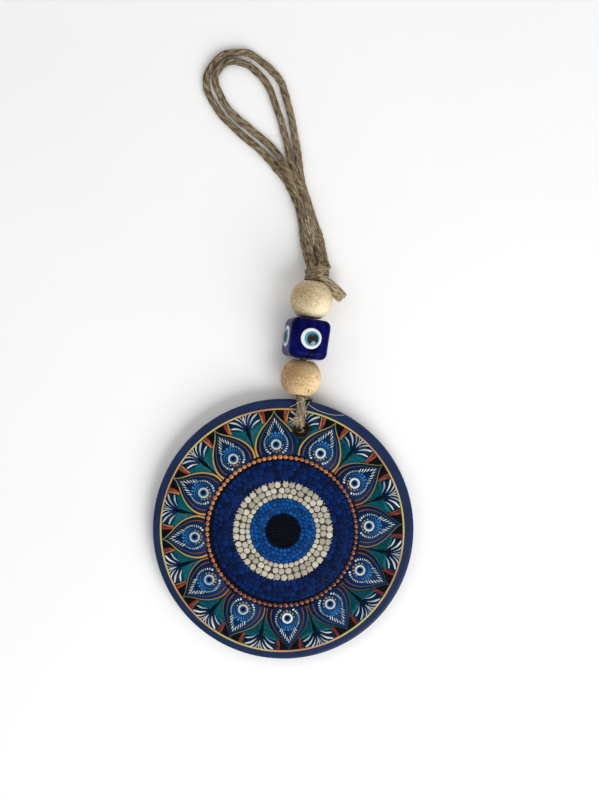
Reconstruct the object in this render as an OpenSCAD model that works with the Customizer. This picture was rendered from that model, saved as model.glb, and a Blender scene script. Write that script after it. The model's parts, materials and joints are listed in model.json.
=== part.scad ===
// Evil eye ornament: a round printed plaque on a jute twine hanger that is
// strung with two wooden beads and a glass eye cube. It lies face up on a
// surface: z = 0 is that surface, the origin is under the plaque's centre,
// and +Y points from the plaque's centre to its hanging hole.

/* [Plaque] */
// Diameter of the plaque
plaque_d = 100; // [95:0.5:101]
// Thickness of the plaque
plaque_t = 5; // [4.5:0.1:5.5]
// Radius of the rounded upper edge
top_round = 1.2; // [0.4:0.1:1.6]
// Radius of the rounded lower edge
bottom_round = 0.6; // [0.3:0.1:0.8]
// Diameter of the hanging hole
hole_d = 6.4; // [6.3:0.1:6.6]
// Distance from the plaque's centre to the hole's centre
hole_offset = 39; // [38.9:0.1:39.2]
// Tilt of the plaque, whose hole side lies on the twine
plaque_tilt = 1.55; // [1.5:0.05:1.7]

/* [Printed face] */
// Thickness of the printed ground
ground_t = 0.15; // [0.1:0.05:0.2]
// Height of the raised paint above the ground
paint_t = 0.25; // [0.15:0.05:0.3]
// Radius of the black pupil
pupil_r = 6.7; // [6:0.1:7]
// Outer radius of the light blue band
iris_r = 12.4; // [11:0.1:13]
// Outer radius of the white band
white_r = 18.9; // [17:0.1:20]
// Outer radius of the dark blue band
blue_r = 27; // [25:0.1:27.2]
// Radius of the circle of copper dots
dot_ring_r = 28.5; // [28.3:0.1:28.8]
// Diameter of one copper dot
dot_d = 1.8; // [1.5:0.1:1.9]
// Number of copper dots
dot_count = 87; // [60:1:90]
// Radius at which the petals meet the ring of dots
petal_root_r = 29.7; // [29.6:0.1:29.9]
// Radius of the petals' tips
petal_tip_r = 45.7; // [44:0.1:45.8]
// Number of petals
petal_count = 12; // [12:1:12]
// Inner radius of the gold rim line
gold_r = 46.1; // [46:0.1:46.5]
// Width of the gold rim line
gold_w = 0.75; // [0.5:0.05:1]

/* [Beads] */
// Greatest diameter of the lower wooden bead
lower_bead_d = 15.5; // [15:0.1:15.6]
// Length of the lower wooden bead along its bore
lower_bead_l = 13.8; // [13:0.1:13.9]
// Greatest diameter of the upper wooden bead
upper_bead_d = 16.1; // [15.5:0.1:16.3]
// Length of the upper wooden bead along its bore
upper_bead_l = 14.3; // [13.5:0.1:14.4]
// Diameter of the bores in the beads and in the cube
bead_bore_d = 5.5; // [5.4:0.05:5.6]
// Depth of the flared mouth of a wooden bead's bore
flare = 1; // [0.5:0.1:1.2]
// Side of the glass cube
cube_w = 15.2; // [14.8:0.1:15.3]
// Radius of the cube's rounded edges
cube_round = 2.6; // [2:0.1:3]
// Turn of the cube about the twine
cube_turn = 14.5; // [0:0.5:20]

/* [Glass eyes] */
// Diameter of an eye's white layer
eye_white_d = 8; // [7:0.1:8.4]
// Diameter of an eye's light blue layer
eye_blue_d = 6; // [5:0.1:6.4]
// Diameter of an eye's black layer
eye_black_d = 4.4; // [4:0.1:4.8]
// How deep an eye is set into the glass
eye_sink = 0.6; // [0.3:0.1:0.8]
// How far each layer of an eye stands above the one under it
eye_step = 0.18; // [0.1:0.02:0.2]

/* [Twine] */
// Diameter of the jute twine
twine_d = 2.4; // [2.3:0.05:2.4]
// Width of the knot across the twine
knot_w = 9.2; // [8.5:0.1:9.5]
// Length of the knot along the twine
knot_l = 6.6; // [6:0.1:6.8]

/* [Hidden] */

// Fineness of the exact round shapes
$fn = 96;
// Overshoot of a cutting solid past the face that it cuts
cut = 1;
// Twine radius, and the height of twine that lies on the surface
twine_r = twine_d / 2;
lying = twine_r + 0.05;
// Number of sides of a swept tube
tube_sides = 8;
// Clearance between the hole's wall and the paint round it
hole_margin = 0.15;
// Height of the ground's top and of the raised paint's top in the plaque
ground_z = plaque_t + ground_t;
paint_z = ground_z + paint_t;
// Radius of the printed ground
ground_r = 48.4;

// Line of the twine through the beads: it leans this far to the left of +Y
stack_lean = 2.3;
// Centres of the pieces on the twine
lower_bead_at = [-3.4, 58.2, lower_bead_d / 2];
cube_at = [-4, 73.1, 8.72];
upper_bead_at = [-4.6, 88.2, upper_bead_d / 2];
// The knot sits on the upper bead's end
knot_at = [-4.2, 99, 6.3];

// Routes of the twine: every point is [x, y, z]
bight_route = [
    [-0.9, 43.6, 9.15], [-0.7, 42.4, 9.1], [-0.35, 41.2, 8.7], [-0.15, 40.7, 7.7],
    [-0.1, 40.6, 5], [0, 40.7, 2.5], [0.1, 41.2, 1.6], [0.3, 42.4, 1.25], [0.4, 43.6, 1.25]
];
front_leg_route = [[-0.9, 43.6, 9.15], [-1.4, 47, 9.25], [-2, 50, 9.15], [-2.6, 51.6, 8.9]];
// The back leg is squeezed flat where it passes between the bead and the plaque
back_leg_route = [
    [-2.7, 51.5, 6.4], [-2.3, 51, 6.1], [-0.8, 50.7, 4.9], [0.6, 50.7, 3.3],
    [1, 50.5, 2], [0.9, 49.6, 1.3], [0.7, 48, 1.25]
];
// Half thickness and half width of the back leg at each point
back_leg_half = [
    [0.9, 1.1], [0.6, 1.5], [0.5, 1.7], [0.5, 1.7], [0.7, 1.6], [1.1, 1.4], [1.2, 1.2]
];
// The run of twine under the plaque, between the back leg and the bight
back_run_route = [[0.7, 48, 1.25], [0.4, 43.6, 1.25]];
// The two strands in the beads, one over the other
core_upper_route = [
    [-2.6, 52.1, 8.85], [-3.3, 58.2, 8.95], [-3.6, 63.8, 9.15], [-3.7, 65.6, 9.75],
    [-4, 73.1, 9.95], [-4.3, 80.6, 9.8], [-4.4, 82.4, 9.4], [-4.6, 88.2, 9.25], [-4.8, 96, 9]
];
core_lower_route = [
    [-2.7, 52.1, 6.45], [-3.3, 58.2, 6.5], [-3.6, 63.8, 6.7], [-3.7, 65.6, 7.3],
    [-4, 73.1, 7.5], [-4.3, 80.6, 7.35], [-4.4, 82.4, 6.95], [-4.6, 88.2, 6.8], [-4.8, 96, 6.55]
];
// The two cut ends leave the knot beside the upper bead
tail_routes = [
    [[-1.4, 99, 8.2], [1.8, 97.4, 8.6], [5, 94.8, 8.3], [7.8, 92, 7.4]],
    [[-1.6, 98, 5.7], [1.4, 95.8, 5.9], [4.4, 93, 5.5], [6.8, 90.4, 4.7]]
];
// The outer loop leaves the knot on the right and comes back on the left
outer_loop_route = [
    [-3, 102.6, 4.4], [-4, 106, 2.5], [-6, 112.5, 1.25], [-8.7, 118.5, 1.25],
    [-11.8, 124.5, 1.25], [-14.7, 130, 1.25], [-17, 135.5, 1.25], [-18.9, 141, 1.25],
    [-20.8, 146.5, 1.25], [-22.6, 152, 1.25], [-24.6, 157.5, 1.25], [-27.2, 163, 1.25],
    [-30.6, 169, 1.25], [-35, 173.6, 1.25], [-40.6, 176.8, 1.25], [-46.4, 178.4, 1.25],
    [-52, 177.6, 1.25], [-56.4, 174.6, 1.25], [-59, 170, 1.25], [-59.2, 165, 1.25],
    [-57, 159.6, 1.25], [-52.4, 154.2, 1.25], [-46.8, 150.2, 1.25], [-41, 146.4, 1.25],
    [-35.2, 142.8, 1.25], [-29.6, 139, 1.25], [-24.6, 134.8, 1.25], [-20.4, 130.2, 1.25],
    [-16.8, 125, 1.25], [-14, 118.8, 1.25], [-11.8, 112.6, 1.25], [-9, 106.6, 2.5],
    [-6.9, 102.6, 4.4]
];
// The inner loop lies on the outer one near the knot, then inside it
inner_loop_route = [
    [-3.6, 102.9, 7.2], [-4.9, 106.2, 5.4], [-7.4, 112.5, 3.7], [-9.9, 118.5, 3.65],
    [-12.6, 124.5, 3.7], [-15.8, 130, 3.75], [-19.1, 135, 3], [-21.9, 140, 1.4],
    [-23.8, 145, 1.25], [-26, 150, 1.25], [-28.2, 155, 1.25], [-31, 160, 1.25],
    [-33.8, 165, 1.25], [-37.6, 169.4, 1.25], [-42.2, 172.6, 1.25], [-47, 174.4, 1.25],
    [-51.6, 174.2, 1.25], [-54.8, 171.6, 1.25], [-56, 167.6, 1.25], [-54.8, 163.2, 1.25],
    [-51.2, 158.2, 1.25], [-45.6, 153.4, 1.25], [-39.4, 149.8, 1.25], [-33, 146.2, 1.25],
    [-28, 142.4, 2], [-24.4, 138.4, 4], [-21.1, 134, 5.3], [-18.4, 129.4, 4.4],
    [-15.6, 124.6, 3.8], [-12.9, 118.6, 3.65], [-10.4, 112.6, 3.7], [-8.2, 106.4, 5.4],
    [-6.6, 102.9, 7.2]
];

// Direction from point i - 1 to point i + 1 of a route
function along(route, i) =
    let (ahead = route[min(i + 1, len(route) - 1)], behind = route[max(i - 1, 0)])
    (ahead - behind) / norm(ahead - behind);

// One ring of a tube: side directions across the route, half sizes h = [up, side]
function ring(at, dir, side, h) =
    let (across = side - (side * dir) * dir, s = across / norm(across), up = cross(s, dir))
    [for (k = [0 : tube_sides - 1])
        let (a = 360 * (k + 0.5) / tube_sides)
        at + h[1] * cos(a) * s + h[0] * sin(a) * up];

// A tube swept along a route as one solid; half holds one [up, side] per point
module tube(route, half, side) {
    last = len(route) - 1;
    points = [for (i = [0 : last]) each ring(route[i], along(route, i), side, half[i])];
    walls = [for (i = [0 : last - 1]) for (k = [0 : tube_sides - 1])
        let (a = i * tube_sides + k, b = i * tube_sides + (k + 1) % tube_sides)
        each [[a, b, b + tube_sides], [a, b + tube_sides, a + tube_sides]]];
    start = [for (k = [tube_sides - 1 : -1 : 0]) k];
    end = [for (k = [0 : tube_sides - 1]) last * tube_sides + k];
    polyhedron(points = points, faces = concat(walls, [start, end]), convexity = 8);
}

// A round tube: across is a direction that the route never runs along
module round_tube(route, across) {
    tube(route, [for (p = route) [twine_r, twine_r]], across);
}

// Puts a shape that is drawn on a level plaque where the tilted plaque lies
module on_plaque() {
    translate([0, 0, plaque_d / 2 * sin(plaque_tilt)]) rotate([plaque_tilt, 0, 0]) children();
}

// A flat ring of paint between two radii, cut away round the hole
module paint_ring(inner, outer, low, high) {
    difference() {
        translate([0, 0, low]) cylinder(r = outer, h = high - low);
        if (inner > 0) translate([0, 0, low - cut]) cylinder(r = inner, h = high - low + 2 * cut);
        hole(hole_margin);
    }
}

// The cutting solid of the hanging hole, wider by a margin
module hole(margin) {
    translate([0, hole_offset, -cut]) cylinder(d = hole_d + 2 * margin, h = plaque_t + 3 * cut);
}

module plaque_board() {
    color("midnightblue") on_plaque() difference() {
        rotate_extrude() union() {
            square([plaque_d / 2 - top_round, plaque_t]);
            translate([0, bottom_round])
                square([plaque_d / 2, plaque_t - top_round - bottom_round]);
            square([plaque_d / 2 - bottom_round, bottom_round + 0.1]);
            translate([plaque_d / 2 - top_round, plaque_t - top_round]) circle(r = top_round);
            translate([plaque_d / 2 - bottom_round, bottom_round]) circle(r = bottom_round);
        }
        hole(0);
    }
}

module printed_ground() {
    color("navy") on_plaque() paint_ring(0, ground_r, plaque_t, ground_z);
}

module gold_rim_line() {
    color("goldenrod") on_plaque() paint_ring(gold_r, gold_r + gold_w, ground_z, paint_z);
}

module eye_pupil_paint() {
    color("black") on_plaque() paint_ring(0, pupil_r, ground_z, paint_z);
}

module eye_light_blue_paint() {
    color("steelblue") on_plaque() paint_ring(pupil_r, iris_r, ground_z, paint_z);
}

module eye_white_paint() {
    color("ivory") on_plaque() paint_ring(iris_r, white_r, ground_z, paint_z);
}

module eye_dark_blue_paint() {
    color("darkblue") on_plaque() paint_ring(white_r, blue_r, ground_z, paint_z);
}

module copper_dot_ring() {
    color("peru") on_plaque() for (i = [0 : dot_count - 1])
        rotate([0, 0, 360 * i / dot_count]) translate([dot_ring_r, 0, ground_z])
            cylinder(d = dot_d, h = paint_t + 0.1, $fn = 24);
}

// Half outline of a petal, as [radius, angle from the petal's axis]
petal_side = [
    [petal_tip_r, 0], [44, 2.2], [42.1, 5.1], [39.6, 8.2], [37.3, 10.5], [35.2, 12.6],
    [33.5, 13.8], [31.8, 14.2], [petal_root_r - 0.2, 13.7]
];
function polar(r, a) = [r * sin(a), r * cos(a)];

module petal_shape() {
    right = [for (p = petal_side) polar(p[0], p[1])];
    left = [for (i = [len(petal_side) - 1 : -1 : 1]) polar(petal_side[i][0], -petal_side[i][1])];
    difference() {
        polygon(concat(right, left));
        circle(r = petal_root_r);
    }
}

// Turns from +Y to the petals' axes, and to the fans' axes between them
function petal_turn(i) = (i + 0.5) * 360 / petal_count;
function fan_turn(i) = i * 360 / petal_count;

module petals_paint() {
    color("mediumblue") on_plaque() for (i = [0 : petal_count - 1])
        rotate([0, 0, petal_turn(i)]) translate([0, 0, ground_z])
            linear_extrude(paint_t) petal_shape();
}

// The small eye in each petal
petal_eye_r = 33.95;
petal_eye_outer = 2.2;
petal_eye_inner = 1.35;
petal_eye_t = 0.2;

module petal_eye_rings() {
    color("white") on_plaque() for (i = [0 : petal_count - 1])
        rotate([0, 0, petal_turn(i)]) translate([0, petal_eye_r, paint_z]) difference() {
            cylinder(r = petal_eye_outer, h = petal_eye_t, $fn = 48);
            translate([0, 0, -cut]) cylinder(r = petal_eye_inner, h = petal_eye_t + 2 * cut, $fn = 48);
        }
}

// The dark teardrop in the middle of each fan; the hole takes the first fan's
fan_head_r = 40.6;
fan_head_half = 1.35;
fan_foot_r = 34.5;

module fan_paint() {
    color("black") on_plaque() for (i = [1 : petal_count - 1])
        rotate([0, 0, fan_turn(i)]) translate([0, 0, ground_z]) linear_extrude(paint_t) union() {
            translate([0, fan_head_r]) circle(r = fan_head_half, $fn = 32);
            polygon([[-fan_head_half, fan_head_r], [fan_head_half, fan_head_r], [0, fan_foot_r]]);
        }
}

// Puts a shape that is drawn about +Z along the twine's line at a place
module strung(at) {
    translate(at) rotate([0, 0, stack_lean]) rotate([-90, 0, 0]) children();
}

// A wooden ball with flat ends and a bore with flared mouths
module wooden_bead(at, d, l) {
    bore_r = bead_bore_d / 2;
    strung(at) difference() {
        intersection() {
            sphere(d = d);
            cylinder(d = d + 2 * cut, h = l, center = true);
        }
        cylinder(r = bore_r, h = l + 2 * cut, center = true);
        for (turn = [0, 180]) rotate([turn, 0, 0])
            translate([0, 0, l / 2 - flare]) cylinder(r1 = bore_r, r2 = bore_r + flare, h = flare + 0.01);
    }
}

module lower_bead() {
    color("burlywood") wooden_bead(lower_bead_at, lower_bead_d, lower_bead_l);
}

module upper_bead() {
    color("burlywood") wooden_bead(upper_bead_at, upper_bead_d, upper_bead_l);
}

// Puts a shape that is drawn with the twine along +Y where the cube lies
module on_cube() {
    translate(cube_at) rotate([0, 0, stack_lean]) rotate([0, cube_turn, 0]) children();
}

// A square with round corners, drawn out to the cube's length
module rounded_bar() {
    side = cube_w / 2 - cube_round;
    linear_extrude(cube_w, center = true) union() {
        square([cube_w, 2 * side], center = true);
        square([2 * side, cube_w], center = true);
        for (x = [-side, side]) for (y = [-side, side]) translate([x, y]) circle(r = cube_round);
    }
}

module glass_cube() {
    color("darkblue", 0.9) on_cube() difference() {
        intersection() {
            rounded_bar();
            rotate([90, 0, 0]) rounded_bar();
            rotate([0, 90, 0]) rounded_bar();
        }
        rotate([90, 0, 0]) cylinder(d = bead_bore_d, h = cube_w + 2 * cut, center = true);
        for (turn = eye_turns) eye_layer(turn, eye_white_d, -eye_sink, cut);
    }
}

// One disc of an eye, on the face that is turned this far about the twine
module eye_layer(turn, d, low, high) {
    rotate([0, turn, 0]) translate([0, 0, cube_w / 2 + low]) cylinder(d = d, h = high - low, $fn = 48);
}

// Turns of the top, left, bottom and right faces of the cube
eye_turns = [0, -90, 180, 90];

module eye_white(turn) {
    color("white") on_cube() eye_layer(turn, eye_white_d, -eye_sink, eye_step);
}

module eye_blue(turn) {
    color("deepskyblue") on_cube() eye_layer(turn, eye_blue_d, eye_step, 2 * eye_step);
}

module eye_black(turn) {
    color("black") on_cube() eye_layer(turn, eye_black_d, 2 * eye_step, 3 * eye_step);
}

module twine_bight() {
    color("tan") round_tube(bight_route, [1, 0, 0]);
}

module twine_front_leg() {
    color("tan") round_tube(front_leg_route, [1, 0, 0]);
}

module twine_back_leg() {
    color("tan") tube(back_leg_route, back_leg_half, [1, 0, 0]);
}

module twine_back_run() {
    color("tan") round_tube(back_run_route, [1, 0, 0]);
}

module twine_core() {
    color("tan") {
        round_tube(core_upper_route, [1, 0, 0]);
        round_tube(core_lower_route, [1, 0, 0]);
    }
}

module twine_knot() {
    ball = knot_l;
    reach = (knot_w - ball) / 2;
    color("tan") translate(knot_at) hull() for (s = [-1, 1])
        translate([s * reach, 0, 0]) sphere(d = ball, $fn = 32);
}

module twine_tails() {
    color("tan") for (route = tail_routes) round_tube(route, [0, 0, 1]);
}

module twine_outer_loop() {
    color("tan") round_tube(outer_loop_route, [0, 0, 1]);
}

module twine_inner_loop() {
    color("tan") round_tube(inner_loop_route, [0, 0, 1]);
}

plaque_board();
printed_ground();
gold_rim_line();
eye_pupil_paint();
eye_light_blue_paint();
eye_white_paint();
eye_dark_blue_paint();
copper_dot_ring();
petals_paint();
petal_eye_rings();
fan_paint();
lower_bead();
glass_cube();
upper_bead();
eye_white(eye_turns[0]);  // top_eye_white
eye_blue(eye_turns[0]);  // top_eye_blue
eye_black(eye_turns[0]);  // top_eye_black
eye_white(eye_turns[1]);  // left_eye_white
eye_blue(eye_turns[1]);  // left_eye_blue
eye_black(eye_turns[1]);  // left_eye_black
eye_white(eye_turns[2]);  // bottom_eye_white
eye_blue(eye_turns[2]);  // bottom_eye_blue
eye_black(eye_turns[2]);  // bottom_eye_black
eye_white(eye_turns[3]);  // right_eye_white
eye_blue(eye_turns[3]);  // right_eye_blue
eye_black(eye_turns[3]);  // right_eye_black
twine_bight();
twine_front_leg();
twine_back_leg();
twine_back_run();
twine_core();
twine_knot();
twine_tails();
twine_outer_loop();
twine_inner_loop();
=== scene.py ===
import json
import math
import random

import bmesh
import bpy
import numpy as np
from mathutils import Matrix, Vector


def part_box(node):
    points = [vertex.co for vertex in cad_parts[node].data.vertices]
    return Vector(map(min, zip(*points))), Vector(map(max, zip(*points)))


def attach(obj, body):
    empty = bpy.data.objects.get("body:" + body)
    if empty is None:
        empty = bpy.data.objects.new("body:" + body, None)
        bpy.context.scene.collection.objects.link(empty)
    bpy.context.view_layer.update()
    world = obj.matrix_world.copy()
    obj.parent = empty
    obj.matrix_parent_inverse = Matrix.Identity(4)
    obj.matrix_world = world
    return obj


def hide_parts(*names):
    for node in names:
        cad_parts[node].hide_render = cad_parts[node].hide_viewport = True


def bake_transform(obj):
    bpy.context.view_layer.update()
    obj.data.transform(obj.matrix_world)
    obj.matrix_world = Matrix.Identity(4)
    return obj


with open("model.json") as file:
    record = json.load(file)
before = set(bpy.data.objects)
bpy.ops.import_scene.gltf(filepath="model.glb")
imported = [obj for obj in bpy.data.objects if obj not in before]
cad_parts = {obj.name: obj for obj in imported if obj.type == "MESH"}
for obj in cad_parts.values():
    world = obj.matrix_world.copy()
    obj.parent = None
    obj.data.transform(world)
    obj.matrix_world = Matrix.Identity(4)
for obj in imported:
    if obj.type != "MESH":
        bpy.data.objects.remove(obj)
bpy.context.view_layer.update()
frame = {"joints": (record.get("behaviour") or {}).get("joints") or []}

# Everything below is in millimetres until make_piece() turns it into metres.
MM = 0.001
# How far a raised shape's foot is sunk into what it stands on
SINK = 0.03


# ---------------------------------------------------------------- frame
def joint(name):
    """The joint of that name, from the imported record."""
    return next(j for j in frame["joints"] if j["name"] == name)


def box_centre(node):
    low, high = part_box(node)
    return (low + high) / 2 / MM


def box_radius(node):
    """Half the width of a round node, in millimetres."""
    low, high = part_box(node)
    return (high.x - low.x) / 2 / MM


def basis(x_axis, y_axis, z_axis, origin):
    """Matrix of a frame with those axes at origin."""
    turn = Matrix((x_axis, y_axis, z_axis)).transposed().to_4x4()
    return Matrix.Translation(origin) @ turn


# The plaque's own frame: z = 0 is its back, +Y runs to the hole
HOLE_OFFSET = 39.0
BOARD_T = 5.0
GROUND_Z = 5.15
FACE_NORMAL = Vector(joint("hanger_swing")["axis"]).normalized()
FACE_UP = FACE_NORMAL.cross(Vector((1, 0, 0)))
BOARD_ORIGIN = Vector(joint("hanger_swing")["pos_m"]) / MM - HOLE_OFFSET * FACE_UP
BOARD = basis(Vector((1, 0, 0)), FACE_UP, FACE_NORMAL, BOARD_ORIGIN)
# The print lies a little to the left of the board's centre and below it
PRINT = BOARD @ Matrix.Translation((-0.34, -0.34, GROUND_Z))
# The pebbled eye and the mandala were each printed a little off the line
EYE = PRINT @ Matrix.Translation((0.33, -0.18, 0))
MANDALA_TURN = Matrix.Rotation(math.radians(-1.34), 4, "Z")
MANDALA = PRINT @ Matrix.Translation((-0.05, -0.45, 0)) @ MANDALA_TURN

HOLE_R = 3.2
# How far the paint stays away from the hole's edge
HOLE_MARGIN = 0.3
HOLE_IN_PRINT = (PRINT.inverted() @ BOARD @ Vector((0, HOLE_OFFSET, 0))).xy
HOLE_IN_MANDALA = (MANDALA.inverted() @ BOARD @ Vector((0, HOLE_OFFSET, 0))).xy
PUPIL_R = box_radius("eye_pupil_paint")
IRIS_R = box_radius("eye_light_blue_paint")
WHITE_R = box_radius("eye_white_paint")
BLUE_R = box_radius("eye_dark_blue_paint")
GOLD_OUTER_R = box_radius("gold_rim_line")
GOLD_W = 0.75
# Centre of the gold line as the mandala sees it
LINE_CENTRE = (MANDALA.inverted() @ PRINT @ Vector((0, 0, 0))).xy
DOT_RING_R = 28.5
DOT_COUNT = 87
PETALS = 12
PETAL_STEP = 360 / PETALS
PETAL_EYE_R = 33.4


# ---------------------------------------------------------------- camera
def make_camera():
    """Straight above the ornament, turned by 10 degrees."""
    data = bpy.data.cameras.new("camera")
    data.lens = 50
    data.sensor_width = 36
    camera = bpy.data.objects.new("camera", data)
    camera.location = Vector((-2.45, 49.95, 430.9)) * MM
    camera.rotation_euler = (0, 0, math.radians(10))
    bpy.context.collection.objects.link(camera)
    bpy.context.scene.camera = camera


# ---------------------------------------------------------------- mesh helpers
class Shape:
    """A mesh being gathered: vertices in millimetres, faces and point values."""

    def __init__(self):
        self.verts = []
        self.faces = []
        self.tones = []
        self.fibres = []

    def add(self, verts, faces, tone=0.5, fibre=None):
        start = len(self.verts)
        self.verts += [tuple(v) for v in verts]
        self.faces += [[start + i for i in face] for face in faces]
        self.tones += list(tone) if hasattr(tone, "__len__") else [tone] * len(verts)
        self.fibres += list(fibre) if fibre is not None else [(0, 0, 0)] * len(verts)


def strips(rings, sides, closed=False):
    """Quads between rings of points; closed joins the last ring to the first."""
    return [[i * sides + k, i * sides + (k + 1) % sides,
             (i + 1) % rings * sides + (k + 1) % sides, (i + 1) % rings * sides + k]
            for i in range(rings if closed else rings - 1) for k in range(sides)]


def caps(rings, sides):
    """Faces that close the first and the last ring."""
    return [list(range(sides)), list(range((rings - 1) * sides, rings * sides))]


def dome(rings, sides):
    """Faces of a closed dome: its sides, its crown about one last point, and its foot."""
    hub = rings * sides
    crown = [[hub - sides + k, hub - sides + (k + 1) % sides, hub] for k in range(sides)]
    return strips(rings, sides) + crown + [list(range(sides))]


def circle(r, z, count, centre=(0, 0)):
    return [(centre[0] + r * math.sin(2 * math.pi * k / count),
             centre[1] + r * math.cos(2 * math.pi * k / count), z) for k in range(count)]


def link_mesh(name, mesh):
    obj = bpy.data.objects.new(name, mesh)
    bpy.context.collection.objects.link(obj)
    return obj


def face_outward(mesh, weld=0.0):
    """Welds a mesh's points that lie that close, and turns its faces outward."""
    bm = bmesh.new()
    bm.from_mesh(mesh)
    if weld:
        bmesh.ops.remove_doubles(bm, verts=bm.verts, dist=weld)
    bmesh.ops.recalc_face_normals(bm, faces=bm.faces)
    bm.to_mesh(mesh)
    bm.free()


def register(obj, body, replaces=()):
    """Puts a piece on its body, and hides the CAD nodes that it replaces."""
    if body:
        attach(obj, body)
    if replaces:
        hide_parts(*replaces)
    return obj


def make_piece(name, shape, material, body, place=None, replaces=()):
    """Turns a shape into an object in metres that rides on a body."""
    mesh = bpy.data.meshes.new(name)
    mesh.from_pydata(shape.verts, [], shape.faces)
    if place is not None:
        mesh.transform(place)
    mesh.transform(Matrix.Scale(MM, 4))
    tone = mesh.attributes.new("tone", "FLOAT", "POINT")
    tone.data.foreach_set("value", np.array(shape.tones, np.float32))
    if any(any(f) for f in shape.fibres[:50]):
        fibre = mesh.attributes.new("fibre", "FLOAT_VECTOR", "POINT")
        fibre.data.foreach_set("vector", np.array(shape.fibres, np.float32).ravel())
    face_outward(mesh)
    mesh.shade_smooth()
    mesh.materials.append(material)
    return register(link_mesh(name, mesh), body, replaces)


def cut_round(obj, place, rings, count, centre=(0, 0)):
    """Cuts a round hole out of a piece: rings of (radius, height) along a frame's +Z."""
    mesh = bpy.data.meshes.new("cutter")
    mesh.from_pydata([p for r, z in rings for p in circle(r, z, count, centre)], [],
                     strips(len(rings), count) + caps(len(rings), count))
    mesh.transform(Matrix.Scale(MM, 4) @ place)
    face_outward(mesh)
    cutter = link_mesh("cutter", mesh)
    modifier = obj.modifiers.new("hole", "BOOLEAN")
    modifier.object = cutter
    modifier.operation = "DIFFERENCE"
    modifier.solver = "EXACT"
    graph = bpy.context.evaluated_depsgraph_get()
    done = bpy.data.meshes.new_from_object(obj.evaluated_get(graph))
    obj.modifiers.clear()
    obj.data = done
    bpy.data.objects.remove(cutter)


def spline(points, per=8):
    """A smooth line through points, with some samples per span."""
    pts = np.array(points, float)
    ends = np.vstack([2 * pts[0] - pts[1], pts, 2 * pts[-1] - pts[-2]])
    out = []
    for i in range(1, len(ends) - 2):
        a, b, c, d = ends[i - 1:i + 3]
        for t in np.linspace(0, 1, per, endpoint=False):
            cubic = (3 * b - a - 3 * c + d) * t ** 3
            out.append(0.5 * (2 * b + (c - a) * t + (2 * a - 5 * b + 4 * c - d) * t * t + cubic))
    out.append(pts[-1])
    return np.array(out)


def resample(points, step):
    """The same line with equal steps."""
    gaps = np.linalg.norm(np.diff(points, axis=0), axis=1)
    run = np.concatenate([[0], np.cumsum(gaps)])
    count = max(2, int(round(run[-1] / step)) + 1)
    at = np.linspace(0, run[-1], count)
    return np.stack([np.interp(at, run, points[:, k]) for k in range(points.shape[1])], 1)


def polar(r, angle):
    """Board point at a radius and an angle in degrees clockwise from +Y."""
    a = math.radians(angle)
    return (r * math.sin(a), r * math.cos(a))


def beside(centre, r, angle):
    """Board point at a radius and an angle from a centre."""
    x, y = polar(r, angle)
    return (centre[0] + x, centre[1] + y)


def clear_of_hole(points):
    """The longest run of points that stay outside the hole."""
    gap = np.hypot(points[:, 0] - HOLE_IN_MANDALA[0], points[:, 1] - HOLE_IN_MANDALA[1])
    best, run = [], []
    for i, ok in enumerate(gap > HOLE_R + HOLE_MARGIN):
        run = run + [i] if ok else []
        if len(run) > len(best):
            best = run
    return best


# Cross-section of a brush stroke: across, and up as a share of its height
STROKE_SECTION = ((-1, 0), (-0.72, 0.68), (0, 1), (0.72, 0.68), (1, 0))


def stroke(shape, points, widths, height, base=0.0, tone=0.5):
    """A raised brush stroke along a line, with a width at each point."""
    pts = np.array(points, float)
    wide = np.interp(np.linspace(0, 1, len(pts)), np.linspace(0, 1, len(widths)), widths)
    keep = clear_of_hole(pts)
    if len(keep) < 3:
        return
    ends = tone if hasattr(tone, "__len__") else (tone, tone)
    tones = np.interp(np.linspace(0, 1, len(pts)), [0, 1], ends)
    pts, wide, tones = pts[keep], wide[keep], tones[keep]
    ahead = np.gradient(pts, axis=0)
    ahead /= np.linalg.norm(ahead, axis=1)[:, None] + 1e-9
    side = np.stack([-ahead[:, 1], ahead[:, 0]], 1)
    top = wide.max()
    verts = []
    for p, s, w in zip(pts, side, wide):
        lift = height * math.sqrt(max(w, 0.02) / top)
        for across, up in STROKE_SECTION:
            z = base + (lift * up if up else -SINK)
            verts.append((p[0] + s[0] * across * w / 2, p[1] + s[1] * across * w / 2, z))
    n = len(STROKE_SECTION)
    shape.add(verts, strips(len(pts), n) + caps(len(pts), n), np.repeat(tones, n))


# Rings of a domed dot: share of its radius, and share of its height
DOME_RINGS = ((1, None), (0.94, 0.42), (0.76, 0.78), (0.42, 0.96))


def mound(shape, outline, centre, height, base, tone, rings):
    """A closed mound over an outline, ring by ring towards its centre."""
    n = len(outline)
    verts = []
    for share, up in rings:
        z = base - SINK if up is None else base + height * up
        for p in outline:
            verts.append((centre[0] + (p[0] - centre[0]) * share,
                          centre[1] + (p[1] - centre[1]) * share, z))
    verts.append((centre[0], centre[1], base + height))
    shape.add(verts, dome(len(rings), n), tone)


def dot(shape, at, across, along, height, turn=0.0, base=0.0, tone=0.5, sides=14, point=0.0):
    """An oval dot of paint; point draws its long ends out."""
    if math.dist(at, HOLE_IN_MANDALA) < HOLE_R + HOLE_MARGIN + across:
        return
    c, s = math.cos(math.radians(turn)), math.sin(math.radians(turn))
    outline = []
    for k in range(sides):
        a = 2 * math.pi * k / sides
        u = across * math.cos(a) * (1 + point * math.cos(a) ** 6)
        v = along * math.sin(a) * (1 - point * math.cos(a) ** 2)
        outline.append((at[0] + u * c + v * s, at[1] - u * s + v * c))
    mound(shape, outline, at, height, base, tone, DOME_RINGS)


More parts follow.
